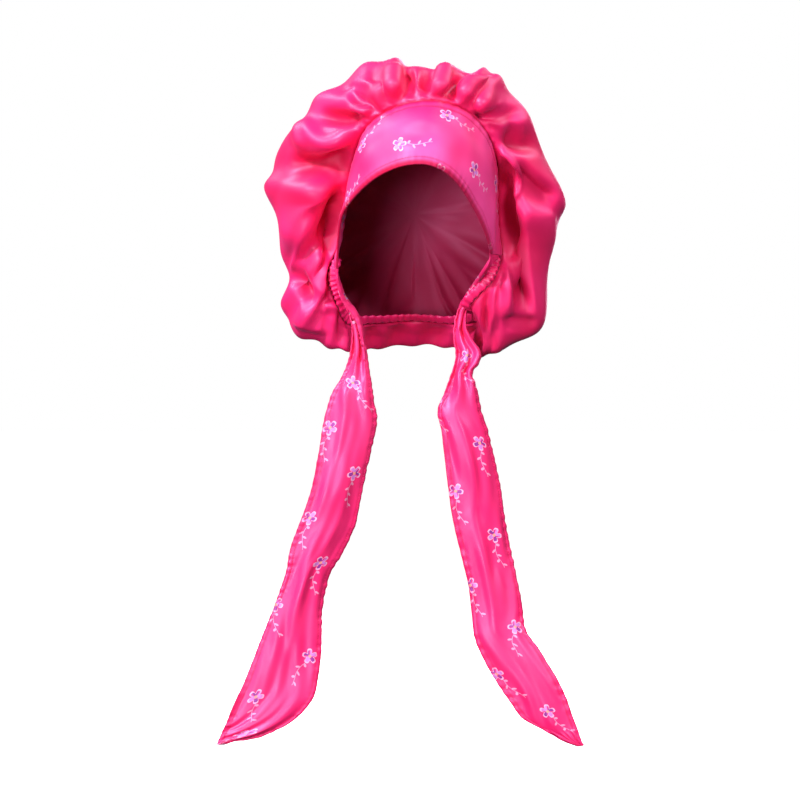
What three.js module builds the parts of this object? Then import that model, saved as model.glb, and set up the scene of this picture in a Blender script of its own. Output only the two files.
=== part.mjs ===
// A satin bonnet as it is worn: a wide flat band over the brow, a full gathered crown behind it,
// an elastic casing round the nape, and two long ties that carry the band's cloth on below the ears.
// Millimetres, +Z up, the face looks along -Y, and left and right are the viewer's.
// The origin is the middle of the head that wears it, level with the temples.
import * as THREE from "three";

// Satin seen in soft light, plain on the crown and a little lighter where it is printed.
const PINK = { color: 0xf0186e, roughness: 0.38, metalness: 0 };
const PRINTED_PINK = { color: 0xf5247a, roughness: 0.42, metalness: 0 };

// Walls of the cloth, and the slits that its seams leave between the pieces.
const CROWN_WALL = 1.6;
const BAND_WALL = 2.4;
const TIE_WALL = 2.0;
const SEAM_GAP = 0.35;
const TIE_GAP = 0.45;
const TIE_TURN = 6;
const CASING_WIDTH = 9;
const CASING_THICKNESS = 4;
const CASING_RUFFLE = 0.7;
const CASING_RUFFLES = 21;
const CASING_SHARE_OF_END = CASING_WIDTH + 2;

// The pole is the middle of the crown's back. Between the outline and the pole the cloth passes a back ring,
// this much of the outline's size and this far back, and between the seam and the outline a front ring.
const CROWN_POLE = new THREE.Vector3(0, 152, 30);
const BACK_RING_SIZE = 0.77;
const BACK_RING_DEPTH = 0.7;
const FRONT_RING = 0.46;

// Shares of the way from the seam to the pole: where the folds are at full height, where the middle of the
// visible cloth is, where they start to ease, where the outline is, and where the folds have died away.
const FULL_FOLDS = 0.2;
const VISIBLE_MIDDLE = 0.25;
const FOLDS_EASE = 0.28;
const OUTLINE = 0.5;
const FOLDS_END = 0.85;
const CREST_SHARPNESS = 1.5;

// The step that slopes are measured over, in sections or shares.
const NEARBY = 0.01;

// Grid of the crown's wall: columns round the opening, and rows from the seam to the pole.
const COLUMNS_PER_SECTION = 5;
const FEWEST_FOLD_COLUMNS = 4;
const MOST_FOLD_COLUMNS = 6;
const CROWN_ROWS = 13;
const ROW_CROWDING = 1.15;

// Sections of the crown, counted round the head opening from the nape up the left side.
// Each row has its point on the seam, its point on the outline seen from the front,
// and how far the cloth between the two swells towards the viewer.
const CROWN_SECTIONS = [
  { place: "nape", seamX: -2, seamY: 86, seamZ: -80, rimX: -2, rimY: 112, rimZ: -104, swell: 0 },
  { place: "nape, left", seamX: -42, seamY: 68, seamZ: -83, rimX: -42, rimY: 92, rimZ: -108, swell: 0 },
  { place: "left corner", seamX: -68, seamY: 36, seamZ: -84, rimX: -64, rimY: 48, rimZ: -111, swell: 1 },
  { place: "below left ear", seamX: -81, seamY: 19, seamZ: -60, rimX: -95, rimY: 44, rimZ: -104, swell: 8 },
  { place: "left ear", seamX: -88, seamY: 16, seamZ: -34, rimX: -129, rimY: 52, rimZ: -84, swell: 16 },
  { place: "above left ear", seamX: -76, seamY: 20, seamZ: -3, rimX: -132, rimY: 54, rimZ: -46, swell: 26 },
  { place: "left side", seamX: -71, seamY: 16, seamZ: 24, rimX: -135, rimY: 51, rimZ: -3, swell: 28 },
  { place: "left temple", seamX: -66, seamY: 4, seamZ: 50, rimX: -146, rimY: 47, rimZ: 41, swell: 26 },
  { place: "left lobe", seamX: -61, seamY: -10, seamZ: 79, rimX: -142, rimY: 42, rimZ: 81, swell: 24 },
  { place: "left shoulder", seamX: -51, seamY: -34, seamZ: 107, rimX: -115, rimY: 31, rimZ: 124, swell: 20 },
  { place: "top left", seamX: -34, seamY: -48, seamZ: 123, rimX: -79, rimY: 20, rimZ: 155, swell: 18 },
  { place: "brow, left", seamX: -12, seamY: -59, seamZ: 132.5, rimX: -38, rimY: 4, rimZ: 174, swell: 16 },
  { place: "brow", seamX: 12, seamY: -64, seamZ: 136, rimX: 6, rimY: -5, rimZ: 172, swell: 14 },
  { place: "brow, right", seamX: 35, seamY: -58, seamZ: 133, rimX: 42, rimY: -3, rimZ: 170, swell: 16 },
  { place: "top right", seamX: 57, seamY: -44, seamZ: 122, rimX: 81, rimY: 6, rimZ: 163, swell: 18 },
  { place: "right shoulder", seamX: 74, seamY: -28, seamZ: 101, rimX: 112, rimY: 20, rimZ: 129, swell: 20 },
  { place: "right lobe", seamX: 82, seamY: -10, seamZ: 74, rimX: 132, rimY: 32, rimZ: 84, swell: 24 },
  { place: "right temple", seamX: 83, seamY: 6, seamZ: 45, rimX: 148, rimY: 38, rimZ: 42, swell: 26 },
  { place: "right side", seamX: 84, seamY: 15, seamZ: 15, rimX: 142, rimY: 44, rimZ: 6, swell: 26 },
  { place: "right ear", seamX: 87, seamY: 16, seamZ: -15, rimX: 134, rimY: 48, rimZ: -37, swell: 22 },
  { place: "below right ear", seamX: 79, seamY: 11, seamZ: -40, rimX: 128, rimY: 50, rimZ: -86, swell: 16 },
  { place: "right corner", seamX: 56, seamY: 14, seamZ: -66, rimX: 93, rimY: 46, rimZ: -106, swell: 6 },
  { place: "behind the corner", seamX: 65, seamY: 38, seamZ: -80, rimX: 65, rimY: 58, rimZ: -116, swell: 0 },
  { place: "nape, right", seamX: 38, seamY: 70, seamZ: -83, rimX: 38, rimY: 94, rimZ: -107, swell: 0 },
];

// Folds of the crown, in the order of the sections. Each crest crosses the seam, the middle of the visible
// cloth and the outline at the sections given. crest is its height and dip the depth of the crease after it,
// which lies this share (crease) of the way to the next crest. point is 0 for a round puff and 1 for a sharp
// crest, and edge is how much of the height is left at the outline.
const CROWN_FOLDS = [
  { seam: 0.0, middle: 0.0, outline: 0.0, crest: 4, dip: 5, crease: 0.5, point: 0, edge: 0.3 },
  { seam: 0.75, middle: 0.75, outline: 0.8, crest: 4, dip: 5, crease: 0.5, point: 0, edge: 0.3 },
  { seam: 1.5, middle: 1.5, outline: 1.5, crest: 4, dip: 5, crease: 0.5, point: 0, edge: 0.3 },
  { seam: 2.1, middle: 2.1, outline: 2.1, crest: 4, dip: 6, crease: 0.5, point: 0, edge: 0.3 },
  { seam: 2.8, middle: 2.75, outline: 2.7, crest: 6, dip: 7, crease: 0.5, point: 0.2, edge: 0.3 },
  { seam: 4.0, middle: 3.7, outline: 3.5, crest: 10, dip: 8, crease: 0.55, point: 0.4, edge: 0.4 },
  { seam: 5.5, middle: 4.9, outline: 4.6, crest: 9, dip: 12, crease: 0.55, point: 0.2, edge: 0.35 },
  { seam: 6.5, middle: 6.1, outline: 5.8, crest: 8, dip: 6, crease: 0.5, point: 0.1, edge: 0.3 },
  { seam: 7.5, middle: 7.25, outline: 7.35, crest: 12, dip: 9, crease: 0.45, point: 0.1, edge: 0.6 },
  { seam: 8.85, middle: 8.6, outline: 8.5, crest: 10, dip: 11, crease: 0.48, point: 0.3, edge: 0.1 },
  { seam: 9.75, middle: 9.8, outline: 9.55, crest: 13, dip: 6, crease: 0.46, point: 0, edge: 0.4 },
  { seam: 10.3, middle: 10.5, outline: 10.75, crest: 12, dip: -4, crease: 0.5, point: 0.3, edge: 0.7 },
  { seam: 10.8, middle: 11.15, outline: 11.5, crest: 15, dip: 4, crease: 0.4, point: 0.6, edge: 0.7 },
  { seam: 11.35, middle: 11.65, outline: 11.85, crest: 6, dip: 5, crease: 0.7, point: 0.1, edge: 0.1 },
  { seam: 12.1, middle: 12.4, outline: 12.66, crest: 12, dip: 6, crease: 0.75, point: 0.6, edge: 0.6 },
  { seam: 13.4, middle: 13.4, outline: 13.65, crest: 12, dip: -2, crease: 0.5, point: 0.3, edge: 0.6 },
  { seam: 14.0, middle: 14.05, outline: 14.05, crest: 12, dip: 9, crease: 0.39, point: 0, edge: 0.4 },
  { seam: 14.55, middle: 14.95, outline: 15.1, crest: 10, dip: 12, crease: 0.3, point: 0.1, edge: 0.1 },
  { seam: 15.3, middle: 16.1, outline: 17.1, crest: 13, dip: 7, crease: 0.5, point: 0, edge: 0.3 },
  { seam: 17.0, middle: 17.5, outline: 18.15, crest: 8, dip: 9, crease: 0.35, point: 0.1, edge: 0.1 },
  { seam: 18.3, middle: 19.1, outline: 20.05, crest: 9, dip: 8, crease: 0.5, point: 0.2, edge: 0.1 },
  { seam: 19.5, middle: 20.4, outline: 21.3, crest: 8, dip: 6, crease: 0.5, point: 0.3, edge: 0.2 },
  { seam: 20.7, middle: 21.4, outline: 22.0, crest: 5, dip: 5, crease: 0.5, point: 0.2, edge: 0.3 },
  { seam: 21.7, middle: 22.1, outline: 22.6, crest: 4, dip: 5, crease: 0.5, point: 0, edge: 0.3 },
  { seam: 22.8, middle: 22.95, outline: 23.25, crest: 4, dip: 5, crease: 0.5, point: 0, edge: 0.3 },
];

// The band's edge on the face, from the left ear to the right, at the crown sections whose seam it meets.
const BAND_SECTIONS = [
  { section: 4.7, faceX: -78, faceY: -12, faceZ: -29, bow: 1 },
  { section: 6, faceX: -77, faceY: -24, faceZ: 0, bow: 2 },
  { section: 7, faceX: -73, faceY: -35, faceZ: 24, bow: 3 },
  { section: 8, faceX: -60, faceY: -58, faceZ: 42, bow: 5 },
  { section: 9, faceX: -43, faceY: -80, faceZ: 57, bow: 6 },
  { section: 10, faceX: -27, faceY: -91, faceZ: 66, bow: 6 },
  { section: 11, faceX: -10, faceY: -97, faceZ: 71.5, bow: 6 },
  { section: 12, faceX: 10, faceY: -98, faceZ: 72.5, bow: 6 },
  { section: 13, faceX: 26, faceY: -93, faceZ: 67, bow: 6 },
  { section: 14, faceX: 40, faceY: -82, faceZ: 56, bow: 6 },
  { section: 15, faceX: 52, faceY: -67, faceZ: 40, bow: 6 },
  { section: 16, faceX: 62, faceY: -52, faceZ: 23, bow: 5 },
  { section: 17, faceX: 70, faceY: -38, faceZ: 6, bow: 4 },
  { section: 18, faceX: 75, faceY: -25, faceZ: -9, bow: 2 },
  { section: 19, faceX: 75.5, faceY: -20, faceZ: -14, bow: 1 },
];

// Cross-sections of the ties from the ear to the tip: the two edges, how far the middle bows towards
// the viewer, and the height of the pleats that the cloth is gathered into where it is narrow.
const LEFT_TIE_SECTIONS = [
  { leftX: -78.5, leftY: 10, leftZ: -36, rightX: -77, rightY: -8, rightZ: -42, bow: 0, pleat: 1 },
  { leftX: -73.5, leftY: 16, leftZ: -56, rightX: -70, rightY: 2, rightZ: -59, bow: 0, pleat: 2.5 },
  { leftX: -65, leftY: 19, leftZ: -75, rightX: -58, rightY: 10, rightZ: -75, bow: 0, pleat: 3 },
  { leftX: -62, leftY: 19, leftZ: -92, rightX: -53, rightY: 13, rightZ: -92, bow: 0, pleat: 3.5 },
  { leftX: -64, leftY: 18, leftZ: -112, rightX: -49, rightY: 16, rightZ: -111, bow: 2, pleat: 3.5 },
  { leftX: -68, leftY: 17, leftZ: -125, rightX: -46.5, rightY: 15, rightZ: -127, bow: 4, pleat: 3 },
  { leftX: -75, leftY: 15, leftZ: -140, rightX: -44, rightY: 14, rightZ: -142, bow: 7, pleat: 2.2 },
  { leftX: -84, leftY: 12, leftZ: -156, rightX: -42, rightY: 12, rightZ: -157, bow: 9, pleat: 1.6 },
  { leftX: -91, leftY: 9, leftZ: -182, rightX: -38.5, rightY: 12, rightZ: -182, bow: 9, pleat: 1 },
  { leftX: -96, leftY: 6, leftZ: -216, rightX: -45, rightY: 14, rightZ: -214, bow: 10, pleat: 1 },
  { leftX: -103, leftY: 4, leftZ: -250, rightX: -53, rightY: 15, rightZ: -250, bow: 10, pleat: 0.8 },
  { leftX: -114, leftY: 3, leftZ: -281, rightX: -60, rightY: 14, rightZ: -284, bow: 8, pleat: 0.6 },
  { leftX: -124, leftY: 2, leftZ: -308, rightX: -72, rightY: 12, rightZ: -311, bow: 9, pleat: 1 },
  { leftX: -129, leftY: 1, leftZ: -333, rightX: -86, rightY: 9, rightZ: -336, bow: 11, pleat: 1.6 },
  { leftX: -140, leftY: 0, leftZ: -365, rightX: -93, rightY: 5, rightZ: -370, bow: 9, pleat: 1 },
  { leftX: -154, leftY: -2, leftZ: -400, rightX: -94, rightY: 1, rightZ: -408, bow: 6, pleat: 0.4 },
  { leftX: -169, leftY: -5, leftZ: -440, rightX: -99, rightY: -4, rightZ: -448, bow: 4, pleat: 0 },
  { leftX: -179, leftY: -7, leftZ: -462, rightX: -107, rightY: -7, rightZ: -465, bow: 3, pleat: 0 },
  { leftX: -187, leftY: -8, leftZ: -481, rightX: -125, rightY: -8, rightZ: -482, bow: 3, pleat: 0 },
  { leftX: -193, leftY: -9, leftZ: -494, rightX: -152, rightY: -9, rightZ: -495, bow: 2, pleat: 0 },
  { leftX: -197.5, leftY: -10, leftZ: -504, rightX: -188, rightY: -10, rightZ: -502.5, bow: 0, pleat: 0 },
];

const RIGHT_TIE_SECTIONS = [
  { leftX: 72.5, leftY: -12, leftZ: -27, rightX: 74, rightY: 3, rightZ: -26, bow: 0, pleat: 1 },
  { leftX: 63, leftY: 8, leftZ: -41, rightX: 64, rightY: 22, rightZ: -40, bow: 0, pleat: 1.5 },
  { leftX: 53, leftY: 23, leftZ: -58, rightX: 57, rightY: 31, rightZ: -56, bow: 0, pleat: 3 },
  { leftX: 44, leftY: 27, leftZ: -70, rightX: 52, rightY: 29, rightZ: -70, bow: 0, pleat: 3.5 },
  { leftX: 40, leftY: 24, leftZ: -86, rightX: 51, rightY: 26, rightZ: -86, bow: 0, pleat: 3.5 },
  { leftX: 40, leftY: 21, leftZ: -100, rightX: 57, rightY: 23, rightZ: -99, bow: 1, pleat: 3.5 },
  { leftX: 42, leftY: 19, leftZ: -112, rightX: 66, rightY: 21, rightZ: -113, bow: 4, pleat: 3 },
  { leftX: 41, leftY: 17, leftZ: -122, rightX: 64, rightY: 18, rightZ: -123, bow: 5, pleat: 2.6 },
  { leftX: 37.5, leftY: 16, leftZ: -133, rightX: 57, rightY: 16, rightZ: -133, bow: 4, pleat: 3.2 },
  { leftX: 32, leftY: 13, leftZ: -149, rightX: 62, rightY: 14, rightZ: -148, bow: 7, pleat: 2.2 },
  { leftX: 23, leftY: 10, leftZ: -170, rightX: 66, rightY: 15, rightZ: -169, bow: 9, pleat: 1.6 },
  { leftX: 28, leftY: 7, leftZ: -195, rightX: 73, rightY: 18, rightZ: -193, bow: 11, pleat: 1.2 },
  { leftX: 33, leftY: 4, leftZ: -242, rightX: 84, rightY: 19, rightZ: -240, bow: 10, pleat: 1 },
  { leftX: 38, leftY: 4, leftZ: -277, rightX: 89, rightY: 18, rightZ: -273, bow: 9, pleat: 0.8 },
  { leftX: 46, leftY: 5, leftZ: -312, rightX: 95, rightY: 17, rightZ: -307, bow: 9, pleat: 0.8 },
  { leftX: 54, leftY: 6, leftZ: -346, rightX: 102, rightY: 14, rightZ: -340, bow: 9, pleat: 0.8 },
  { leftX: 57, leftY: 6, leftZ: -372, rightX: 107, rightY: 11, rightZ: -366, bow: 9, pleat: 1.2 },
  { leftX: 60, leftY: 4, leftZ: -398, rightX: 110, rightY: 6, rightZ: -389, bow: 9, pleat: 1.2 },
  { leftX: 70, leftY: 2, leftZ: -420, rightX: 125, rightY: 0, rightZ: -411, bow: 7, pleat: 0.6 },
  { leftX: 83, leftY: 0, leftZ: -443, rightX: 140, rightY: -4, rightZ: -436, bow: 5, pleat: 0 },
  { leftX: 96, leftY: -2, leftZ: -462, rightX: 150, rightY: -6, rightZ: -456, bow: 4, pleat: 0 },
  { leftX: 108, leftY: -3, leftZ: -478, rightX: 156, rightY: -8, rightZ: -473, bow: 3, pleat: 0 },
  { leftX: 127, leftY: -5, leftZ: -489, rightX: 161, rightY: -9, rightZ: -487, bow: 2, pleat: 0 },
  { leftX: 146, leftY: -7, leftZ: -499, rightX: 164, rightY: -10, rightZ: -497, bow: 1, pleat: 0 },
  { leftX: 162, leftY: -9, leftZ: -505, rightX: 168, rightY: -10, rightZ: -505, bow: 0, pleat: 0 },
];

// The casing runs from the band's right end to its left one, past the last section and on from the first,
// and lies flat with the cloth that starts the crown there, up to this share of its way to the pole.
const CASING_SECTIONS = { from: 19.1, to: 28.6 };
const CROWN_START = 0.06;

const BAND_STEPS = { along: 42, across: 5 };
const TIE_STEPS = { along: 40, across: 9 };
const TIE_PLEATS = 2;
const CASING_STEPS = { along: 84, around: 8 };

const smoothstep = (low, high, value) => THREE.MathUtils.smoothstep(value, low, high);

// A smooth curve through four numbers in a row, read between the second and the third.
function smoothBetween(a, b, c, d, t) {
  const rise = 0.5 * (c - a);
  const nextRise = 0.5 * (d - b);
  const t2 = t * t;
  const t3 = t2 * t;
  return (2 * t3 - 3 * t2 + 1) * b + (t3 - 2 * t2 + t) * rise + (3 * t2 - 2 * t3) * c + (t3 - t2) * nextRise;
}

// Every number of a table at a place between its rows. A closed table runs on from its last row to its first.
function readTable(rows, at, closed) {
  const count = rows.length;
  const first = closed ? Math.floor(at) : Math.min(Math.max(Math.floor(at), 0), count - 2);
  const rowAt = (i) => rows[closed ? ((i % count) + count) % count : Math.min(Math.max(i, 0), count - 1)];
  const [a, b, c, d] = [-1, 0, 1, 2].map((step) => rowAt(first + step));
  const read = {};
  for (const column of Object.keys(b)) {
    if (typeof b[column] === "number") {
      read[column] = smoothBetween(a[column], b[column], c[column], d[column], at - first);
    }
  }
  return read;
}

// The closed seam that joins the crown to the band and the casing.
function seamPoint(section) {
  const row = readTable(CROWN_SECTIONS, section, true);
  return new THREE.Vector3(row.seamX, row.seamY, row.seamZ);
}

// A point of the crown without its folds: share 0 is the seam, 1 the pole in the middle of the back.
function crownBase(section, share) {
  const row = readTable(CROWN_SECTIONS, section, true);
  const seam = new THREE.Vector3(row.seamX, row.seamY, row.seamZ);
  const rim = new THREE.Vector3(row.rimX, row.rimY, row.rimZ);
  const front = seam.clone().lerp(rim, FRONT_RING);
  front.y -= row.swell;
  const back = CROWN_POLE.clone().lerp(rim, BACK_RING_SIZE);
  back.y = THREE.MathUtils.lerp(rim.y, CROWN_POLE.y, BACK_RING_DEPTH);
  const beyondPole = CROWN_POLE.clone().multiplyScalar(2).sub(back);
  beyondPole.y = back.y;
  const beforeSeam = seam.clone().multiplyScalar(2).sub(front);
  const profile = [beforeSeam, seam, front, rim, back, CROWN_POLE, beyondPole];
  const spans = profile.length - 3;
  const at = share * spans;
  const span = Math.min(Math.floor(at), spans - 1);
  const [a, b, c, d] = profile.slice(span, span + 4);
  const place = (axis) => smoothBetween(a[axis], b[axis], c[axis], d[axis], at - span);
  return new THREE.Vector3(place("x"), place("y"), place("z"));
}

// Where a fold's crest lies at this share of the way from the seam to the pole, as a section number.
function crestSection(fold, share) {
  const toMiddle = smoothstep(0, VISIBLE_MIDDLE, share);
  const toOutline = smoothstep(FULL_FOLDS, OUTLINE, share);
  const beforeOutline = THREE.MathUtils.lerp(fold.seam, fold.middle, toMiddle);
  return THREE.MathUtils.lerp(beforeOutline, fold.outline, toOutline);
}

// Height of the cloth across one side of a fold: 1 on its crest, 0 in the crease.
function foldProfile(toCrease, point) {
  const round = Math.sqrt(Math.max(1 - toCrease * toCrease, 0));
  const sharp = Math.max(1 - toCrease, 0) ** CREST_SHARPNESS;
  return THREE.MathUtils.lerp(round, sharp, point);
}

// How much of a fold's height the cloth has at a share of the way from the seam to the pole.
function foldStrength(share, edge) {
  const rise = smoothstep(0, FULL_FOLDS, share);
  const towardsOutline = THREE.MathUtils.lerp(1, edge, smoothstep(FOLDS_EASE, OUTLINE, share));
  return rise * towardsOutline * (1 - smoothstep(OUTLINE, FOLDS_END, share));
}

// A point of the crown's outer face, part of the way from one fold's crest to the next.
function crownPoint(index, part, share) {
  const fold = CROWN_FOLDS[index];
  const isLast = index + 1 === CROWN_FOLDS.length;
  const next = CROWN_FOLDS[isLast ? 0 : index + 1];
  const from = crestSection(fold, share);
  const to = crestSection(next, share) + (isLast ? CROWN_SECTIONS.length : 0);
  const section = THREE.MathUtils.lerp(from, to, part);
  const beforeCrease = part < fold.crease;
  const toCrease = beforeCrease ? part / fold.crease : (1 - part) / (1 - fold.crease);
  const side = beforeCrease ? fold : next;
  const edge = THREE.MathUtils.lerp(fold.edge, next.edge, part);
  const height = foldProfile(toCrease, side.point) * (side.crest + fold.dip) - fold.dip;
  const here = crownBase(section, share);
  const along = crownBase(section + NEARBY, share).sub(crownBase(section - NEARBY, share));
  const down = crownBase(section, share + NEARBY).sub(crownBase(section, Math.max(share - NEARBY, 0)));
  const outward = along.cross(down).normalize();
  return here.addScaledVector(outward, height * foldStrength(share, edge));
}

// The grid columns of the crown: a wide fold gets more of them.
const CROWN_COLUMNS = CROWN_FOLDS.flatMap((fold, index) => {
  const next = CROWN_FOLDS[index + 1] ?? { middle: CROWN_FOLDS[0].middle + CROWN_SECTIONS.length };
  const wished = Math.round((next.middle - fold.middle) * COLUMNS_PER_SECTION);
  const count = THREE.MathUtils.clamp(wished, FEWEST_FOLD_COLUMNS, MOST_FOLD_COLUMNS);
  return Array.from({ length: count }, (_, i) => ({ index, part: i / count }));
});

// Triangles of a grid of points, which face the side that its columns turn onto its rows.
function gridTriangles(columns, rows, isRing) {
  const triangles = [];
  const at = (column, row) => row * columns + (column % columns);
  const lastColumn = isRing ? columns : columns - 1;
  for (let row = 0; row < rows - 1; row++) {
    for (let column = 0; column < lastColumn; column++) {
      const [a, b] = [at(column, row), at(column + 1, row)];
      const [c, d] = [at(column + 1, row + 1), at(column, row + 1)];
      triangles.push([a, b, c], [a, c, d]);
    }
  }
  return triangles;
}

// The narrow faces that join an outer face to its inner one along a line of its points.
function edgeTriangles(line, shift) {
  return line.slice(1).flatMap((to, i) => {
    const from = line[i];
    return [[from, to, to + shift], [from, to + shift, from + shift]];
  });
}

// A fan of triangles from a ring of points to one point in its middle.
function fanTriangles(firstOfRing, columns, middle) {
  const triangles = [];
  for (let column = 0; column < columns; column++) {
    triangles.push([firstOfRing + column, firstOfRing + ((column + 1) % columns), middle]);
  }
  return triangles;
}

// The same triangles facing the other way, on points that lie this many places further on.
function turnedOver(triangles, shift = 0) {
  return triangles.map((corners) => corners.map((corner) => corner + shift).reverse());
}

function geometryFrom(points, triangles) {
  const geometry = new THREE.BufferGeometry().setFromPoints(points);
  geometry.setIndex(triangles.flat());
  geometry.computeVertexNormals();
  return geometry;
}

// The points of a wall's inner face: its outer points moved inwards along the grid's normals.
function innerPoints(outer, columns, rows, isRing, wall) {
  const pick = (column, row) => {
    const wrapped = isRing ? (column + columns) % columns : Math.min(Math.max(column, 0), columns - 1);
    return outer[Math.min(Math.max(row, 0), rows - 1) * columns + wrapped];
  };
  return outer.map((point, index) => {
    const column = index % columns;
    const row = Math.floor(index / columns);
    const across = pick(column + 1, row).clone().sub(pick(column - 1, row));
    const along = pick(column, row + 1).clone().sub(pick(column, row - 1));
    return point.clone().addScaledVector(across.cross(along).normalize(), -wall);
  });
}

// The gathered crown: a thin wall with its folds, open at the seam and closed over the pole.
function makeCrown() {
  const columns = CROWN_COLUMNS.length;
  const outer = [];
  for (let row = 0; row < CROWN_ROWS; row++) {
    const share = (row / CROWN_ROWS) ** ROW_CROWDING;
    outer.push(...CROWN_COLUMNS.map(({ index, part }) => crownPoint(index, part, share)));
  }
  const inner = innerPoints(outer, columns, CROWN_ROWS, true, CROWN_WALL);
  const shift = outer.length;
  const lastRing = (CROWN_ROWS - 1) * columns;
  const innerPole = CROWN_POLE.clone().add(new THREE.Vector3(0, -CROWN_WALL, 0));
  const points = [...outer, ...inner, CROWN_POLE, innerPole];
  const grid = gridTriangles(columns, CROWN_ROWS, true);
  const seamEdge = Array.from({ length: columns + 1 }, (_, i) => (columns - i) % columns);
  return geometryFrom(points, [
    ...grid,
    ...turnedOver(grid, shift),
    ...fanTriangles(lastRing, columns, 2 * shift),
    ...turnedOver(fanTriangles(lastRing + shift, columns, 2 * shift + 1)),
    ...edgeTriangles(seamEdge, shift),
  ]);
}

// A strip of cloth. pointAt gives its outer face for a share of its length and a share of its width.
function makeStrip(pointAt, steps, wall) {
  const [columns, rows] = [steps.across + 1, steps.along + 1];
  const outer = [];
  for (let row = 0; row < rows; row++) {
    for (let column = 0; column < columns; column++) {
      outer.push(pointAt(row / steps.along, column / steps.across));
    }
  }
  const inner = innerPoints(outer, columns, rows, false, wall);
  const grid = gridTriangles(columns, rows, false);
  const at = (column, row) => row * columns + column;
  const border = [
    ...Array.from({ length: columns }, (_, i) => at(columns - 1 - i, 0)),
    ...Array.from({ length: rows - 1 }, (_, i) => at(0, i + 1)),
    ...Array.from({ length: columns - 1 }, (_, i) => at(i + 1, rows - 1)),
    ...Array.from({ length: rows - 1 }, (_, i) => at(columns - 1, rows - 2 - i)),
  ];
  const triangles = [...grid, ...turnedOver(grid, outer.length), ...edgeTriangles(border, outer.length)];
  return geometryFrom([...outer, ...inner], triangles);
}

// A point between two edges, lifted outwards by a bow that is highest midway.
function bowedPoint(edgesAt, share, across, lift) {
  const [start, end] = edgesAt(share);
  const before = edgesAt(Math.max(share - NEARBY, 0));
  const after = edgesAt(Math.min(share + NEARBY, 1));
  const middle = (edges) => edges[0].clone().add(edges[1]).multiplyScalar(0.5);
  const along = middle(after).sub(middle(before));
  const outward = end.clone().sub(start).cross(along).normalize();
  return start.clone().lerp(end, across).addScaledVector(outward, lift);
}

const bowHeight = (across) => 1 - (2 * across - 1) ** 2;

// The band's two edges at a share of its length: on the crown's seam, and on the face.
function bandEdges(share) {
  const row = readTable(BAND_SECTIONS, share * (BAND_SECTIONS.length - 1), false);
  const face = new THREE.Vector3(row.faceX, row.faceY, row.faceZ);
  const seam = seamPoint(row.section);
  const width = seam.distanceTo(face);
  return [seam.lerp(face, SEAM_GAP / width), face];
}

function bandPoint(share, across) {
  const { bow } = readTable(BAND_SECTIONS, share * (BAND_SECTIONS.length - 1), false);
  return bowedPoint(bandEdges, share, across, bow * bowHeight(across) - SEAM_GAP * (1 - across));
}

// A section of a tie that runs straight on from the band's end, this far past it, beside the casing
// that takes the rest of that end. It has the edge by the casing first, then the one on the face.
function pastBandEnd(share, reach) {
  const edges = bandEdges(share);
  const before = bandEdges(share === 0 ? NEARBY : share - NEARBY);
  const [seam, face] = edges.map((edge, i) => edge.clone().add(edge.clone().sub(before[i]).setLength(reach)));
  return [seam.lerp(face, CASING_SHARE_OF_END / seam.distanceTo(face)), face];
}

function makeTie(rows) {
  const rowAt = (share) => readTable(rows, share * (rows.length - 1), false);
  const edgesAt = (share) => {
    const row = rowAt(share);
    const left = new THREE.Vector3(row.leftX, row.leftY, row.leftZ);
    const right = new THREE.Vector3(row.rightX, row.rightY, row.rightZ);
    return [right, left];
  };
  const pointAt = (share, across) => {
    const { bow, pleat } = rowAt(share);
    const lift = bow * bowHeight(across) + pleat * Math.sin(2 * Math.PI * TIE_PLEATS * across);
    return bowedPoint(edgesAt, share, across, lift);
  };
  return makeStrip(pointAt, TIE_STEPS, TIE_WALL);
}

const flatSection = (left, right) => ({
  leftX: left.x,
  leftY: left.y,
  leftZ: left.z,
  rightX: right.x,
  rightY: right.y,
  rightZ: right.z,
  bow: 0,
  pleat: 0,
});

// The first two sections of a tie lie just past the band's end.
const leftTieStart = [TIE_GAP, TIE_TURN].map((reach) => flatSection(...pastBandEnd(0, reach)));
const rightTieStart = [TIE_GAP, TIE_TURN].map((reach) => flatSection(...pastBandEnd(1, reach).reverse()));

// The elastic casing: a soft ruffled tube on the seam, from the right ear round the nape to the left one.
function makeCasing() {
  const { along, around } = CASING_STEPS;
  const points = [];
  const middles = [];
  for (let step = 0; step <= along; step++) {
    const section = THREE.MathUtils.lerp(CASING_SECTIONS.from, CASING_SECTIONS.to, step / along);
    const seam = seamPoint(section);
    const tangent = seamPoint(section + NEARBY).sub(seamPoint(section - NEARBY)).normalize();
    const toCrown = crownBase(section, CROWN_START).sub(seam);
    toCrown.addScaledVector(tangent, -toCrown.dot(tangent)).normalize();
    const thickness = tangent.clone().cross(toCrown);
    const ruffle = CASING_RUFFLE * Math.sin((2 * Math.PI * CASING_RUFFLES * step) / along);
    const middle = seam.clone().addScaledVector(toCrown, -(CASING_WIDTH / 2 + CASING_RUFFLE + SEAM_GAP));
    middles.push(middle);
    for (let side = 0; side < around; side++) {
      const angle = (2 * Math.PI * side) / around;
      const point = middle.clone().addScaledVector(toCrown, Math.cos(angle) * (CASING_WIDTH / 2 + ruffle));
      points.push(point.addScaledVector(thickness, Math.sin(angle) * (CASING_THICKNESS / 2 + ruffle)));
    }
  }
  const firstMiddle = points.length;
  points.push(middles[0], middles[along]);
  return geometryFrom(points, [
    ...gridTriangles(around, along + 1, true),
    ...turnedOver(fanTriangles(0, around, firstMiddle)),
    ...fanTriangles(along * around, around, firstMiddle + 1),
  ]);
}

const root = new THREE.Group();
root.name = "satin_bonnet";

function addPiece(name, geometry, finish) {
  const piece = new THREE.Mesh(geometry, new THREE.MeshStandardMaterial(finish));
  piece.name = name;
  root.add(piece);
}

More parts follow.
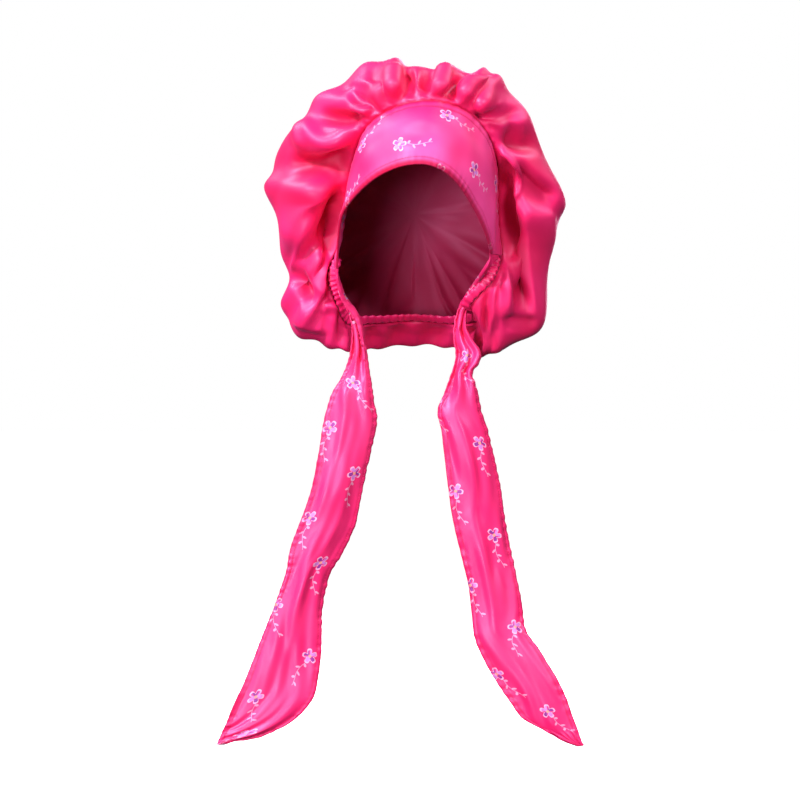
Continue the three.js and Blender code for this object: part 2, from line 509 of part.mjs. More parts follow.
addPiece("crown", makeCrown(), PINK);
addPiece("front_band", makeStrip(bandPoint, BAND_STEPS, BAND_WALL), PRINTED_PINK);
addPiece("tie_left", makeTie([...leftTieStart, ...LEFT_TIE_SECTIONS]), PRINTED_PINK);
addPiece("tie_right", makeTie([...rightTieStart, ...RIGHT_TIE_SECTIONS]), PRINTED_PINK);
addPiece("nape_casing", makeCasing(), PINK);

export default root;
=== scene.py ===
import math

import bpy
import numpy as np
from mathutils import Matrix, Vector


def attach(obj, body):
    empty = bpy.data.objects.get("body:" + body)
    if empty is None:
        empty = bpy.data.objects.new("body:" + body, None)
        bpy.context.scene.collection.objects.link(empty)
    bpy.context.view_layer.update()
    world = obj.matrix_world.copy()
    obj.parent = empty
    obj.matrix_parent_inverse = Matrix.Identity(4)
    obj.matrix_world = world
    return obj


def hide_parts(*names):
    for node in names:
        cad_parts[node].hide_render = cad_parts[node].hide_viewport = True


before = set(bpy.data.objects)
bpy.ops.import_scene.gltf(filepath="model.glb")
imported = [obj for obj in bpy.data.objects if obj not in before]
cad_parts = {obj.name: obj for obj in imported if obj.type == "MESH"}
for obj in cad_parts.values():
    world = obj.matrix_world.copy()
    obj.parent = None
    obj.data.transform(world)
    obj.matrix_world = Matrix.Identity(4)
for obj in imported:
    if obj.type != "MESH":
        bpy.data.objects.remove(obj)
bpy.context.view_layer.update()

# A worn satin bonnet. Tables and sizes are in millimetres, +Z up, the face looks along -Y,
# and left and right are the viewer's. Blender's own objects are in metres.
MM = 0.001

# Thickness of the cloth, and the slits that the seams leave.
CROWN_WALL = 1.2
BAND_WALL = 2.0
TIE_WALL = 1.6
SEAM_GAP = 0.35
TIE_GAP = 0.45
TIE_TURN = 6

# The crown's cloth runs from its seam over the outline to the pole in the middle of its back.
CROWN_POLE = np.array((0.0, 152.0, 30.0))
BACK_RING_SIZE = 0.77
BACK_RING_DEPTH = 0.7
FRONT_RING = 0.46
PROFILE_SPANS = 4
FULL_FOLDS = 0.2
VISIBLE_MIDDLE = 0.25
FOLDS_EASE = 0.28
OUTLINE = 0.5
FOLDS_END = 0.85
CREST_SHARPNESS = 1.5
SIDE_FROM = (50, 115)
FRONT_CALM = 0.25
CALM_UNTIL = (0.36, 0.5)
NEARBY = 0.01

# Grid of the crown's cloth.
COLUMNS_PER_SECTION = 16
CROWN_ROWS = 120
ROW_CROWDING = 1.2
WIDEST_ROW = CROWN_ROWS // 3

# Crown sections from the nape up the left side and down the right: seam x y z, outline x y z, and swell.
CROWN_SECTIONS = np.array([
    (-2, 86, -80, -2, 112, -104, 0),
    (-42, 68, -83, -42, 92, -108, 0),
    (-68, 36, -84, -64, 48, -111, 1),
    (-81, 19, -60, -95, 44, -104, 8),
    (-88, 16, -34, -129, 52, -84, 16),
    (-76, 20, -3, -132, 54, -46, 26),
    (-71, 16, 24, -135, 51, -3, 28),
    (-66, 4, 50, -146, 47, 41, 26),
    (-61, -10, 79, -142, 42, 81, 24),
    (-51, -34, 107, -115, 31, 124, 20),
    (-34, -48, 123, -79, 20, 155, 18),
    (-12, -59, 132.5, -38, 4, 174, 16),
    (12, -64, 136, 6, -5, 172, 14),
    (35, -58, 133, 42, -3, 170, 16),
    (57, -44, 122, 81, 6, 163, 18),
    (74, -28, 101, 112, 20, 129, 20),
    (82, -10, 74, 132, 32, 84, 24),
    (83, 6, 45, 148, 38, 42, 26),
    (84, 15, 15, 142, 44, 6, 26),
    (87, 16, -15, 134, 48, -37, 22),
    (79, 11, -40, 128, 50, -86, 16),
    (56, 14, -66, 93, 46, -106, 6),
    (65, 38, -80, 65, 58, -116, 0),
    (38, 70, -83, 38, 94, -107, 0),
], float)
SECTION_COUNT = len(CROWN_SECTIONS)

# Large folds: where the crest crosses the seam, the visible middle and the outline, its height, the dip
# after it, the crease's share of the way to the next crest, how sharp it is, and what is left at the outline.
CROWN_FOLDS = np.array([
    (0.0, 0.0, 0.0, 4, 5, 0.5, 0, 0.3),
    (0.75, 0.75, 0.8, 4, 5, 0.5, 0, 0.3),
    (1.5, 1.5, 1.5, 4, 5, 0.5, 0, 0.3),
    (2.1, 2.1, 2.1, 4, 6, 0.5, 0, 0.3),
    (2.8, 2.75, 2.7, 6, 7, 0.5, 0.2, 0.3),
    (4.0, 3.7, 3.5, 10, 8, 0.55, 0.4, 0.4),
    (5.5, 4.9, 4.6, 9, 16, 0.55, 0.2, 0.45),
    (6.5, 6.1, 5.8, 8, 6, 0.5, 0.1, 0.3),
    (7.5, 7.25, 7.35, 12, 9, 0.45, 0.1, 0.6),
    (8.85, 8.6, 8.5, 10, 11, 0.48, 0.3, 0.1),
    (9.75, 9.8, 9.55, 13, 6, 0.46, 0, 0.4),
    (10.3, 10.5, 10.75, 12, -4, 0.5, 0.3, 0.7),
    (10.8, 11.15, 11.5, 15, 4, 0.4, 0.6, 0.7),
    (11.35, 11.65, 11.85, 6, 5, 0.7, 0.1, 0.1),
    (12.1, 12.4, 12.66, 12, 6, 0.75, 0.6, 0.6),
    (13.4, 13.4, 13.65, 12, -2, 0.5, 0.3, 0.6),
    (14.0, 14.05, 14.05, 12, 9, 0.39, 0, 0.4),
    (14.55, 14.95, 15.1, 10, 12, 0.3, 0.1, 0.1),
    (15.3, 16.1, 17.1, 13, 7, 0.5, 0, 0.3),
    (17.0, 17.5, 18.15, 8, 9, 0.35, 0.1, 0.1),
    (18.3, 19.1, 20.05, 9, 8, 0.5, 0.2, 0.1),
    (19.5, 20.4, 21.3, 8, 6, 0.5, 0.3, 0.2),
    (20.7, 21.4, 22.0, 5, 5, 0.5, 0.2, 0.3),
    (21.7, 22.1, 22.6, 4, 5, 0.5, 0, 0.3),
    (22.8, 22.95, 23.25, 4, 5, 0.5, 0, 0.3),
], float)
CREST_SEAM, CREST_MIDDLE, CREST_OUTLINE, CREST, DIP, CREASE, POINT, EDGE = range(8)

# Smaller folds of the crown's front: start x z, middle x z, end x z, height, and how far the fold reaches
# to the left and to the right of its way. A short reach is a sharp edge, a negative height a crease.
FRONT_FOLDS = np.array([
    (-17, 178, -18, 160, -21, 138, 9, 4, 20),
    (-40, 178, -41, 162, -35, 146, -6, 3, 14),
    (-11, 174, -5, 155, -8, 136, -9, 7, 6),
    (20, 170, 15, 157, 11, 142, -6, 5, 12),
    (29, 178, 31, 160, 22, 138, 9, 4, 16),
    (29, 138, 38, 150, 52, 163, -7, 6, 7),
    (42, 136, 52, 155, 84, 160, 8, 4, 16),
    (58, 128, 72, 133, 94, 132, 6, 16, 12),
    (50, 120, 78, 125, 114, 132, -7, 5, 18),
    (99, 130, 110, 110, 116, 96, 5, 14, 9),
    (82, 106, 106, 97, 126, 106, -11, 20, 13),
    (80, 92, 97, 78, 108, 55, 6, 4, 3),
    (108, 57, 97, 44, 87, 64, 5, 3, 3),
    (86, 84, 95, 67, 98, 54, -6, 4, 5),
    (100, 80, 124, 54, 147, 44, -10, 9, 20),
    (100, 34, 124, 24, 148, 30, 5, 12, 34),
    (84, 80, 89, 30, 90, -28, -22, 12, 7),
    (97, 34, 107, -25, 113, -82, -18, 9, 15),
    (93, -18, 94, -50, 92, -82, 5, 7, 7),
    (80, -25, 79, -60, 76, -100, 6, 5, 5),
    (71, -32, 72, -60, 72, -95, -6, 6, 6),
    (86, -78, 106, -79, 128, -82, -6, 4, 14),
    (-76, 156, -45, 157, -27, 139, 5, 3, 15),
    (-73, 136, -56, 147, -36, 130, 5, 4, 7),
    (-70, 133, -55, 127, -39, 131, 4, 4, 5),
    (-66, 139, -55, 138, -45, 136, -4, 5, 5),
    (-100, 126, -74, 121, -50, 118, -12, 9, 10),
    (-114, 137, -92, 98, -55, 117, 10, 9, 18),
    (-112, 132, -118, 105, -104, 88, 6, 9, 8),
    (-128, 82, -94, 79, -58, 94, -15, 9, 26),
    (-148, 54, -118, 53, -92, 57, 3, 8, 14),
    (-78, 60, -106, 26, -127, -20, 14, 14, 38),
    (-97, 26, -114, -8, -128, -44, 6, 8, 5),
    (-74, 56, -82, 16, -86, -22, -18, 7, 18),
    (-84, -16, -95, -52, -119, -97, 9, 5, 14),
    (-80, -26, -82, -46, -82, -62, -8, 8, 6),
    (-93, -61, -85, -65, -68, -58, 5, 4, 9),
    (-124, -26, -112, -46, -98, -66, -14, 10, 10),
    (-124, -78, -104, -86, -84, -88, 8, 22, 7),
], float)
FOLD_SPANS = 16
FOLD_TAPER = 0.3
FRONT_FADE = (0.38, 0.5)
FRONT_RISE = 0.08
CREST_ROUND = 0.15
FRONT_SOFTENING = 1

# Long soft folds of the sides and back: width and length in sections and in shares of the way, and height.
BACK_FOLD_WIDTH = 2.2
BACK_FOLD_LENGTH = 0.55
BACK_FOLD_HEIGHT = 7.0
BACK_SAG_WIDTH = 5.0
BACK_SAG_HEIGHT = 3.0
BACK_SEED = 5
BACK_FROM = (0.46, 0.62)
BACK_TO = (0.72, 0.94)
BACK_FOLD_ROUND = 0.8
BACK_FOLD_LEVEL = 0.7

# How deep a valley of the crown is where its painted shade is at its darkest, and the painted shade beside
# its seam.
FULL_PAINTED_SHADE_DEPTH = 18
SEAM_PAINTED_SHADE = 0.8
SEAM_PAINTED_SHADE_TO = 0.035
SOFTENING = 3

# Small gathers along the crown's seam.
GATHERS = 104
GATHER_SEED = 11
GATHER_HEIGHT = (0.4, 2.0)
GATHER_REACH = (0.06, 0.26)
GATHER_WIDTH = 0.085
GATHER_LEAN = 1.6
GATHER_JITTER = 0.35
GATHER_RISE = 0.035
GATHER_FALL_FROM = 0.3
GATHER_SPREAD = 5

# The band's edge on the face: crown section whose seam it meets, x y z, and bow.
BAND_SECTIONS = np.array([
    (4.7, -78, -12, -29, 1),
    (6, -77, -24, 0, 2),
    (7, -73, -35, 24, 3),
    (8, -60, -58, 42, 5),
    (9, -43, -80, 57, 6),
    (10, -27, -91, 66, 6),
    (11, -10, -97, 71.5, 6),
    (12, 10, -98, 72.5, 6),
    (13, 26, -93, 67, 6),
    (14, 40, -82, 56, 6),
    (15, 52, -67, 40, 6),
    (16, 62, -52, 23, 5),
    (17, 70, -38, 6, 4),
    (18, 75, -25, -9, 2),
    (19, 75.5, -20, -14, 1),
], float)

# Cross-sections of the ties: left edge x y z, right edge x y z, bow, and height of the pleats.
LEFT_TIE_SECTIONS = np.array([
    (-78.5, 10, -36, -77, -8, -42, 0, 1),
    (-73.5, 16, -56, -70, 2, -59, 0, 2.5),
    (-65, 19, -75, -58, 10, -75, 0, 3),
    (-62, 19, -92, -53, 13, -92, 0, 3.5),
    (-64, 18, -112, -49, 16, -111, 2, 3.5),
    (-68, 17, -125, -46.5, 15, -127, 4, 3),
    (-75, 15, -140, -44, 14, -142, 7, 2.2),
    (-84, 12, -156, -42, 12, -157, 9, 1.6),
    (-91, 9, -182, -38.5, 12, -182, 9, 1),
    (-96, 6, -216, -45, 14, -214, 10, 1),
    (-103, 4, -250, -53, 15, -250, 10, 0.8),
    (-114, 3, -281, -60, 14, -284, 8, 0.6),
    (-124, 2, -308, -72, 12, -311, 9, 1),
    (-129, 1, -333, -86, 9, -336, 11, 1.6),
    (-140, 0, -365, -93, 5, -370, 9, 1),
    (-154, -2, -400, -94, 1, -408, 6, 0.4),
    (-169, -5, -440, -99, -4, -448, 4, 0),
    (-179, -7, -462, -107, -7, -465, 3, 0),
    (-187, -8, -481, -125, -8, -482, 3, 0),
    (-193, -9, -494, -152, -9, -495, 2, 0),
    (-197.5, -10, -504, -188, -10, -502.5, 0, 0),
], float)
RIGHT_TIE_SECTIONS = np.array([
    (72.5, -12, -27, 74, 3, -26, 0, 1),
    (63, 8, -41, 64, 22, -40, 0, 1.5),
    (53, 23, -58, 57, 31, -56, 0, 3),
    (44, 27, -70, 52, 29, -70, 0, 3.5),
    (40, 24, -86, 51, 26, -86, 0, 3.5),
    (40, 21, -100, 57, 23, -99, 1, 3.5),
    (42, 19, -112, 66, 21, -113, 4, 3),
    (41, 17, -122, 64, 18, -123, 5, 2.6),
    (37.5, 16, -133, 57, 16, -133, 4, 3.2),
    (32, 13, -149, 62, 14, -148, 7, 2.2),
    (23, 10, -170, 66, 15, -169, 9, 1.6),
    (28, 7, -195, 73, 18, -193, 11, 1.2),
    (33, 4, -242, 84, 19, -240, 10, 1),
    (38, 4, -277, 89, 18, -273, 9, 0.8),
    (46, 5, -312, 95, 17, -307, 9, 0.8),
    (54, 6, -346, 102, 14, -340, 9, 0.8),
    (57, 6, -372, 107, 11, -366, 9, 1.2),
    (60, 4, -398, 110, 6, -389, 9, 1.2),
    (70, 2, -420, 125, 0, -411, 7, 0.6),
    (83, 0, -443, 140, -4, -436, 5, 0),
    (96, -2, -462, 150, -6, -456, 4, 0),
    (108, -3, -478, 156, -8, -473, 3, 0),
    (127, -5, -489, 161, -9, -487, 2, 0),
    (146, -7, -499, 164, -10, -497, 1, 0),
    (162, -9, -505, 168, -10, -505, 0, 0),
], float)
TIE_PLEATS = 2

# The elastic casing from the right ear round the nape to the left one.
CASING_FROM = 19.1
CASING_TO = 28.6
CASING_WIDTH = 9
CASING_THICKNESS = 4
CASING_RUFFLE = 0.7
CASING_RUFFLES = 46
CASING_SHARE_OF_END = CASING_WIDTH + 2
CROWN_START = 0.06
CASING_STEPS = 560
CASING_SIDES = 24

BAND_STEPS = (300, 44)
TIE_STEPS = (420, 48)
HEM_ARC = 5

# Hems: how wide they are, how much thicker the doubled cloth is, the groove that the thread pulls in,
# the painted shade at each edge (how dark, how far) and in the groove, and where the hem's rise falls off.
BAND_HEM = 8.0
TIE_HEM = 5.0
HEM_RISE = 0.6
GROOVE_DEPTH = 0.8
GROOVE_WIDTH = 0.8
SEAM_EDGE_PAINTED_SHADE = (0.9, 3.0)
FACE_EDGE_PAINTED_SHADE = (1.3, 7.0)
TIE_EDGE_PAINTED_SHADE = (0.5, 3.0)
GROOVE_PAINTED_SHADE = 0.5
HEM_FALL = (-0.3, 0.9)

# Small unevenness of the strips: height, wavelengths along and across, and seed.
BAND_PUCKERS = (0.3, 9, 60, 3)
BAND_PUCKERS_TO = 16
FACE_PUCKERS = (0.16, 9, 50, 4)
FACE_PUCKERS_TO = 14
BAND_SLACK = (0.9, 55, 40, 5)
TIE_FOLDS = (2.0, 150, 26, 0)
TIE_RIPPLES = (0.7, 70, 15, 1)
TIE_FOLDS_ROUND = 0.5
TIE_GATHERS = (0.7, 45, 0.2, 2)
TIE_PUCKERS = (0.5, 10, 60, 3)
TIE_PUCKERS_TO = 9
CASING_UNEVENNESS = (1.3, 30, 1, 21)
NOISE_WAVES = 9
NOISE_PACE = (0.6, 1.5)

# A tie is open cloth from the second of these widths on, and starts to fold this far from the band.
TIE_OPENS = (10, 45)
TIE_STARTS = 12
LEFT_TIE_SEED = 31
RIGHT_TIE_SEED = 47

# Section of the casing: how flat its sides are, and how its ruffle changes round it.
CASING_SQUEEZE = 0.16
CASING_SQUEEZE_POWER = 6
CASING_RUFFLE_ROUND = (0.75, 0.25)
CASING_RUFFLE_PHASE = 1

# Stitches, in metres, and where they run: distances in millimetres, and the rows of a tie that are sewn.
STITCH_PITCH = 0.0028
STITCH_LENGTH = 0.0020
STITCH_THREAD = 0.00045
STITCH_FACES = (6, 5)
STITCH_INSET = 0.8
STITCH_LIFT = 0.15
TIE_SEWN = slice(60, -4)
CASING_SEAM_SIDE = CASING_SIDES // 8

# Print on the band and ties, in metres: a five-petalled flower with a row of leaves behind it.
MOTIF_SPACING = (0.094, 0.034)
MOTIF_SIZE = 0.0078
MOTIF_TURN = 0.5
STEM_EDGE = (0.00022, 0.00034)

# The print's own shape: counts, turns, edges and shares of its size.
FLOWER_SHIFT = 1.6
PETALS = 5
PETAL_NOTCH = 0.5
PETAL_EDGE = (0.98, 1.04)
PETAL_LINE = (0.76, 0.84)
HEART_EDGE = (0.18, 0.24)
TWIG_LENGTH = 3.4
TWIG_TURN = 4.4
TWIG_CURL = 0.3
LEAVES = 5.0
LEAF_REACH = 0.68
LEAF_OFFSET = 0.8
LEAF_SLANT = 0.9
LEAF_SHAPE = (4.2, 2.7)
LEAF_EDGE = (0.8, 1.1)
EVEN_SHIFT = 8.0
COLOUR_TURNS = (2.0, 6.0)
LILAC_FROM = (-0.2, 0.3)
INDIGO_FROM = (-0.3, -0.5)
TWIG_INK = 0.7
INK = 0.8

# Colours, linear.
PINK = (0.88, 0.013, 0.15, 1)
DEEP_PINK = (0.80, 0.008, 0.095, 1)
BAND_PINK = (0.97, 0.08, 0.34, 1)
TIE_PINK = (0.94, 0.032, 0.18, 1)
# The reverse has the front's dye; its darker pinks are painted shade of the crown's inside.
REVERSE_PINK_WITH_PAINTED_SHADE = (0.52, 0.008, 0.08, 1)
REVERSE_DEEP_PINK_WITH_PAINTED_SHADE = (0.42, 0.006, 0.055, 1)
# Painted shade: the dark pink that folds, seams and hem edges are blended towards, and how much at most.
PAINTED_SHADE_PINK = (0.36, 0.002, 0.014, 1)
PAINTED_SHADE_SHARE = 0.8
THREAD_PINK = (0.80, 0.02, 0.17, 1)
MOTIF_INKS = {
    "White": (0.90, 0.58, 0.78, 1),
    "Lilac": (0.52, 0.28, 0.72, 1),
    "Indigo": (0.09, 0.04, 0.30, 1),
    "Orange": (0.95, 0.42, 0.20, 1),
}

# Satins: name, colour, deeper colour, roughness, whether it is printed, and whether painted shade darkens its
# folds, seams and hems.
SATINS = (
    ("crown satin", PINK, DEEP_PINK, 0.5, False, True),
    ("printed band satin", BAND_PINK, PINK, 0.52, True, True),
    ("printed tie satin", TIE_PINK, PINK, 0.44, True, True),
    ("casing satin", PINK, DEEP_PINK, 0.40, False, False),
    ("satin reverse with painted shade", REVERSE_PINK_WITH_PAINTED_SHADE, REVERSE_DEEP_PINK_WITH_PAINTED_SHADE, 0.6, False, False),
    ("sewing thread", THREAD_PINK, DEEP_PINK, 0.5, False, False),
)
SATIN_FINISH = {
    "Sheen Weight": 0.14,
    "Sheen Roughness": 0.4,
    "Sheen Tint": (1.0, 0.3, 0.8, 1),
    "Anisotropic": 0.35,
    "Specular IOR Level": 1.0,
    "Specular Tint": (1.0, 0.55, 0.82, 1),
}
SHADE_EDGE = (0.35, 0.7)
SHEEN_EDGE = (0.3, 0.7)
ROUGHNESS_SPREAD = (-0.05, 0.06)

# Weave: width of a float in metres, heights, and scale and detail of each unevenness.
FLOAT_WIDTH = 0.0005
FLOAT_HEIGHT = 0.35
SLUB_HEIGHT = 0.35
SLUB_STRETCH = (220.0, 1500.0, 0.0)
SLUB_NOISE = (1.0, 2.0)
SHEEN_NOISE = (28.0, 3.0)
SHADE_NOISE = (9.0, 2.0)
WEAVE_BUMP = 0.1
WEAVE_DISTANCE = 0.0001

# The colour sockets of a Mix node.
MIX_FIRST, MIX_SECOND, MIX_RESULT = 6, 7, 2

# The camera sees 800 mm across at the bonnet, round this X and Z.
CAMERA_DISTANCE = 6.0
VIEW_CENTRE = (-15, -160)
VIEW_WIDTH = 0.8
SENSOR_WIDTH = 36
CAMERA_SEES_TO = 200
FLOOR_LEVEL = -512
WORLD_STRENGTH = 0.06
FLOOR_REACH = 60.0
PAPER_WHITE = (1, 1, 1, 1)
PAPER_FINISH = {
    "Base Color": PAPER_WHITE,
    "Roughness": 0.9,
    "Emission Color": PAPER_WHITE,
    "Emission Strength": 1.0,
}
AIM = (0.0, 0.03, -0.05)
LIGHT_COLOUR = (1.0, 0.86, 1.0)
# Soft lights: name, place, size and power. All of them look at the aim.
LIGHTS = (
    ("key", (-1.6, -2.15, 2.15), 0.6, 158),
    ("fill", (-1.0, -2.5, -0.1), 1.0, 42),
    ("side", (1.7, -2.4, 1.5), 1.0, 60),
    ("left", (-3.0, -0.8, 1.1), 1.4, 15),
    ("rim left", (-2.2, 0.9, 2.4), 1.6, 75),
    ("rim right", (2.2, 0.9, 2.4), 1.6, 48),
    ("back", (0.6, 3.4, 0.5), 1.8, 60),
)


def smoothstep(low, high, value):
    t = np.clip((value - low) / (high - low), 0, 1)
    return t * t * (3 - 2 * t)


def fall(low, high, value):
    return 1 - smoothstep(low, high, value)


def mix(a, b, share):
    return a + (b - a) * share


def unit(vectors):
    length = np.linalg.norm(vectors, axis=-1, keepdims=True)
    return vectors / np.maximum(length, 1e-9)


def smooth_between(a, b, c, d, t):
    """A smooth curve through four rows, read between the second and the third."""
    rise = 0.5 * (c - a)
    next_rise = 0.5 * (d - b)
    t2 = t * t
    t3 = t2 * t
    near = (2 * t3 - 3 * t2 + 1) * b + (t3 - 2 * t2 + t) * rise
    return near + (3 * t2 - 2 * t3) * c + (t3 - t2) * next_rise


def read_table(rows, at, closed=False):
    """Every column of a table at places between its rows. A closed table runs on from its last row."""
    at = np.asarray(at, float)
    count = len(rows)
    first = np.floor(at).astype(int)
    if not closed:
        first = np.clip(first, 0, count - 2)
    picked = []
    for step in (-1, 0, 1, 2):
        place = (first + step) % count if closed else np.clip(first + step, 0, count - 1)
        picked.append(rows[place])
    return smooth_between(*picked, (at - first)[..., None])


def seam_point(section):
    return read_table(CROWN_SECTIONS, section, closed=True)[..., 0:3]


def crown_base(section, share):
    """The crown without its folds: share 0 is the seam, 1 the pole in the middle of the back."""
    section, share = np.broadcast_arrays(np.asarray(section, float), np.asarray(share, float))
    row = read_table(CROWN_SECTIONS, section, closed=True)
    seam, rim, swell = row[..., 0:3], row[..., 3:6], row[..., 6]
    front = mix(seam, rim, FRONT_RING)
    front[..., 1] -= swell
    back = mix(CROWN_POLE, rim, BACK_RING_SIZE)
    back[..., 1] = mix(rim[..., 1], CROWN_POLE[1], BACK_RING_DEPTH)
    beyond_pole = 2 * CROWN_POLE - back
    beyond_pole[..., 1] = back[..., 1]
    before_seam = 2 * seam - front
    pole = np.broadcast_to(CROWN_POLE, seam.shape)
    profile = np.stack([before_seam, seam, front, rim, back, pole, beyond_pole])
    at = share * PROFILE_SPANS
    span = np.clip(np.floor(at).astype(int), 0, PROFILE_SPANS - 1)
    corners = [np.take_along_axis(profile, (span + step)[None, ..., None], axis=0)[0] for step in range(4)]
    return smooth_between(*corners, (at - span)[..., None])


def crest_section(fold, share):
    """Where a fold's crest lies at this share of the way from the seam to the pole."""
    before_outline = mix(fold[..., CREST_SEAM], fold[..., CREST_MIDDLE], smoothstep(0, VISIBLE_MIDDLE, share))
    return mix(before_outline, fold[..., CREST_OUTLINE], smoothstep(FULL_FOLDS, OUTLINE, share))


def fold_profile(to_crease, point):
    """Height of the cloth across one side of a fold: 1 on its crest, 0 in the crease."""
    soft = 0.5 + 0.5 * np.cos(math.pi * to_crease)
    sharp = np.maximum(1 - to_crease, 0) ** CREST_SHARPNESS
    return mix(soft, sharp, point)


def fold_strength(share, edge):
    """How much of a fold's height the cloth has at a share of the way from the seam to the pole."""
    rise = smoothstep(0, FULL_FOLDS, share)
    towards_outline = mix(1, edge, smoothstep(FOLDS_EASE, OUTLINE, share))
    return rise * towards_outline * fall(OUTLINE, FOLDS_END, share)


def crown_columns():
    """The grid columns of the crown: for each the fold before it, and its part of the way to the next."""
    index, part = [], []
    middles = np.append(CROWN_FOLDS[:, CREST_MIDDLE], CROWN_FOLDS[0, CREST_MIDDLE] + SECTION_COUNT)
    for i, width in enumerate(np.diff(middles)):
        count = int(round(width * COLUMNS_PER_SECTION))
        index += [i] * count
        part += [step / count for step in range(count)]
    return np.array(index), np.array(part)


def crown_surface(index, part, share):
    """The folded outer face of the crown, and the section number of each of its points."""
    fold = CROWN_FOLDS[index]
    following = CROWN_FOLDS[(index + 1) % len(CROWN_FOLDS)]
    turn = np.where(index + 1 == len(CROWN_FOLDS), SECTION_COUNT, 0)
    start = crest_section(fold, share)
    end = crest_section(following, share) + turn
    section = mix(start, end, part)
    crease = fold[..., CREASE]
    before = part < crease
    to_crease = np.where(before, part / crease, (1 - part) / (1 - crease))
    side_crest = np.where(before, fold[..., CREST], following[..., CREST])
    side_point = np.where(before, fold[..., POINT], following[..., POINT])
    edge = mix(fold[..., EDGE], following[..., EDGE], part)
    dip = fold[..., DIP]
    height = fold_profile(to_crease, side_point) * (side_crest + dip) - dip
    side = np.abs(crown_base(section, OUTLINE)[..., 0])
    height = height * mix(1, FRONT_CALM, smoothstep(*SIDE_FROM, side) * fall(*CALM_UNTIL, share))
    here = crown_base(section, share)
    along = crown_base(section + NEARBY, share) - crown_base(section - NEARBY, share)
    down = crown_base(section, share + NEARBY) - crown_base(section, np.maximum(share - NEARBY, 0))
    outward = unit(np.cross(along, down))
    return here + outward * (height * fold_strength(share, edge))[..., None], section


def grid_normals(points, ring):
    """Outward directions of a grid of points, rows by columns, whose columns may close to a ring."""
    if ring:
        across = np.roll(points, -1, axis=1) - np.roll(points, 1, axis=1)
    else:
        across = np.gradient(points, axis=1)
    along = np.gradient(points, axis=0)
    return unit(np.cross(across, along))


def soften_folds(points, rounds):
    """Rounds the creases of a closed grid of points between its first and last row."""
    for _ in range(rounds):
        across = 0.25 * (np.roll(points, 1, axis=1) + np.roll(points, -1, axis=1)) + 0.5 * points
        along = 0.25 * (across[:-2] + across[2:]) + 0.5 * across[1:-1]
        points = np.concatenate([points[:1], along, points[-1:]])
    return points


def seam_gathers(section, share):
    """Height of the small gathers that the seam puckers the crown into."""
    random = np.random.default_rng(GATHER_SEED)
    moved = np.arange(GATHERS) + random.uniform(-GATHER_JITTER, GATHER_JITTER, GATHERS)
    places = moved * SECTION_COUNT / GATHERS
    leans = random.uniform(-GATHER_LEAN, GATHER_LEAN, GATHERS)
    heights = random.uniform(*GATHER_HEIGHT, GATHERS)
    reaches = random.uniform(*GATHER_REACH, GATHERS)
    total = np.zeros_like(section)
    for place, lean, height, reach in zip(places, leans, heights, reaches):
        off = section - place - lean * share
        off -= SECTION_COUNT * np.round(off / SECTION_COUNT)
        width = GATHER_WIDTH * (1 + GATHER_SPREAD * share)
        rise = smoothstep(0, GATHER_RISE, share) * fall(GATHER_FALL_FROM * reach, reach, share)
        total += height * rise * np.exp(-((off / width) ** 2))
    return total


def front_folds(points, share):
    """Height of the smaller folds at points of the crown's front, from the table of them."""
    place = points.reshape(-1, 3)[:, None, [0, 2]]
    total = np.zeros(len(place))
    t = np.linspace(0, 1, FOLD_SPANS + 1)[:, None]
    for row in FRONT_FOLDS:
        start, middle, end = row[0:2], row[2:4], row[4:6]
        height, left, right = row[6:9]
        bend = 2 * middle - 0.5 * (start + end)
        path = (1 - t) ** 2 * start + 2 * t * (1 - t) * bend + t**2 * end
        way = np.diff(path, axis=0)
        along = np.clip(np.sum((place - path[:-1]) * way, axis=2) / np.sum(way * way, axis=1), 0, 1)
        away = place - path[:-1] - along[..., None] * way
        nearest = np.argmin(np.sum(away * away, axis=2), axis=1)
        point = np.arange(len(place))
        offset = away[point, nearest]
        heading = way[nearest]
        is_left = heading[:, 0] * offset[:, 1] - heading[:, 1] * offset[:, 0] > 0
        distance = np.linalg.norm(offset, axis=1) / np.where(is_left, left, right)
        travelled = (nearest + along[point, nearest]) / FOLD_SPANS
        taper = smoothstep(0, FOLD_TAPER, travelled) * fall(1 - FOLD_TAPER, 1, travelled)
        span = math.hypot(1, CREST_ROUND) - CREST_ROUND
        flank = (np.sqrt(distance**2 + CREST_ROUND**2) - CREST_ROUND) / span
        total += height * np.clip(1 - flank, 0, 1) * taper
    fade = fall(*FRONT_FADE, share)
    return total.reshape(share.shape) * fade * smoothstep(0, FRONT_RISE, share)


def back_folds(section, share):
    """Height of the long soft folds that run on from the outline over the sides and back."""
    noise = soft_noise(section / BACK_FOLD_WIDTH, share / BACK_FOLD_LENGTH, BACK_SEED)
    folds = np.abs(noise) ** BACK_FOLD_ROUND
    sag = soft_noise(section / BACK_SAG_WIDTH, share / BACK_FOLD_LENGTH, BACK_SEED + 1)
    strength = smoothstep(*BACK_FROM, share) * fall(*BACK_TO, share)
    return (BACK_FOLD_HEIGHT * (folds - BACK_FOLD_LEVEL) + BACK_SAG_HEIGHT * sag) * strength


def soft_noise(u, v, seed):
    """A smooth seeded unevenness between about -1 and 1, with a wavelength of about 1."""
    random = np.random.default_rng(seed)
    total = np.zeros(np.broadcast(u, v).shape)
    for _ in range(NOISE_WAVES):
        angle = random.uniform(0, 2 * math.pi)
        pace = 2 * math.pi * random.uniform(*NOISE_PACE)
        phase = random.uniform(0, 2 * math.pi)
        total += np.sin(pace * (np.cos(angle) * u + np.sin(angle) * v) + phase)
    return total / math.sqrt(NOISE_WAVES)


def unevenness(length, width, kind, seed=0):
    """Small height of a strip's cloth, from one of the kinds among the values."""
    height, along, across, own_seed = kind
    return height * soft_noise(length / along, width / across, seed + own_seed)


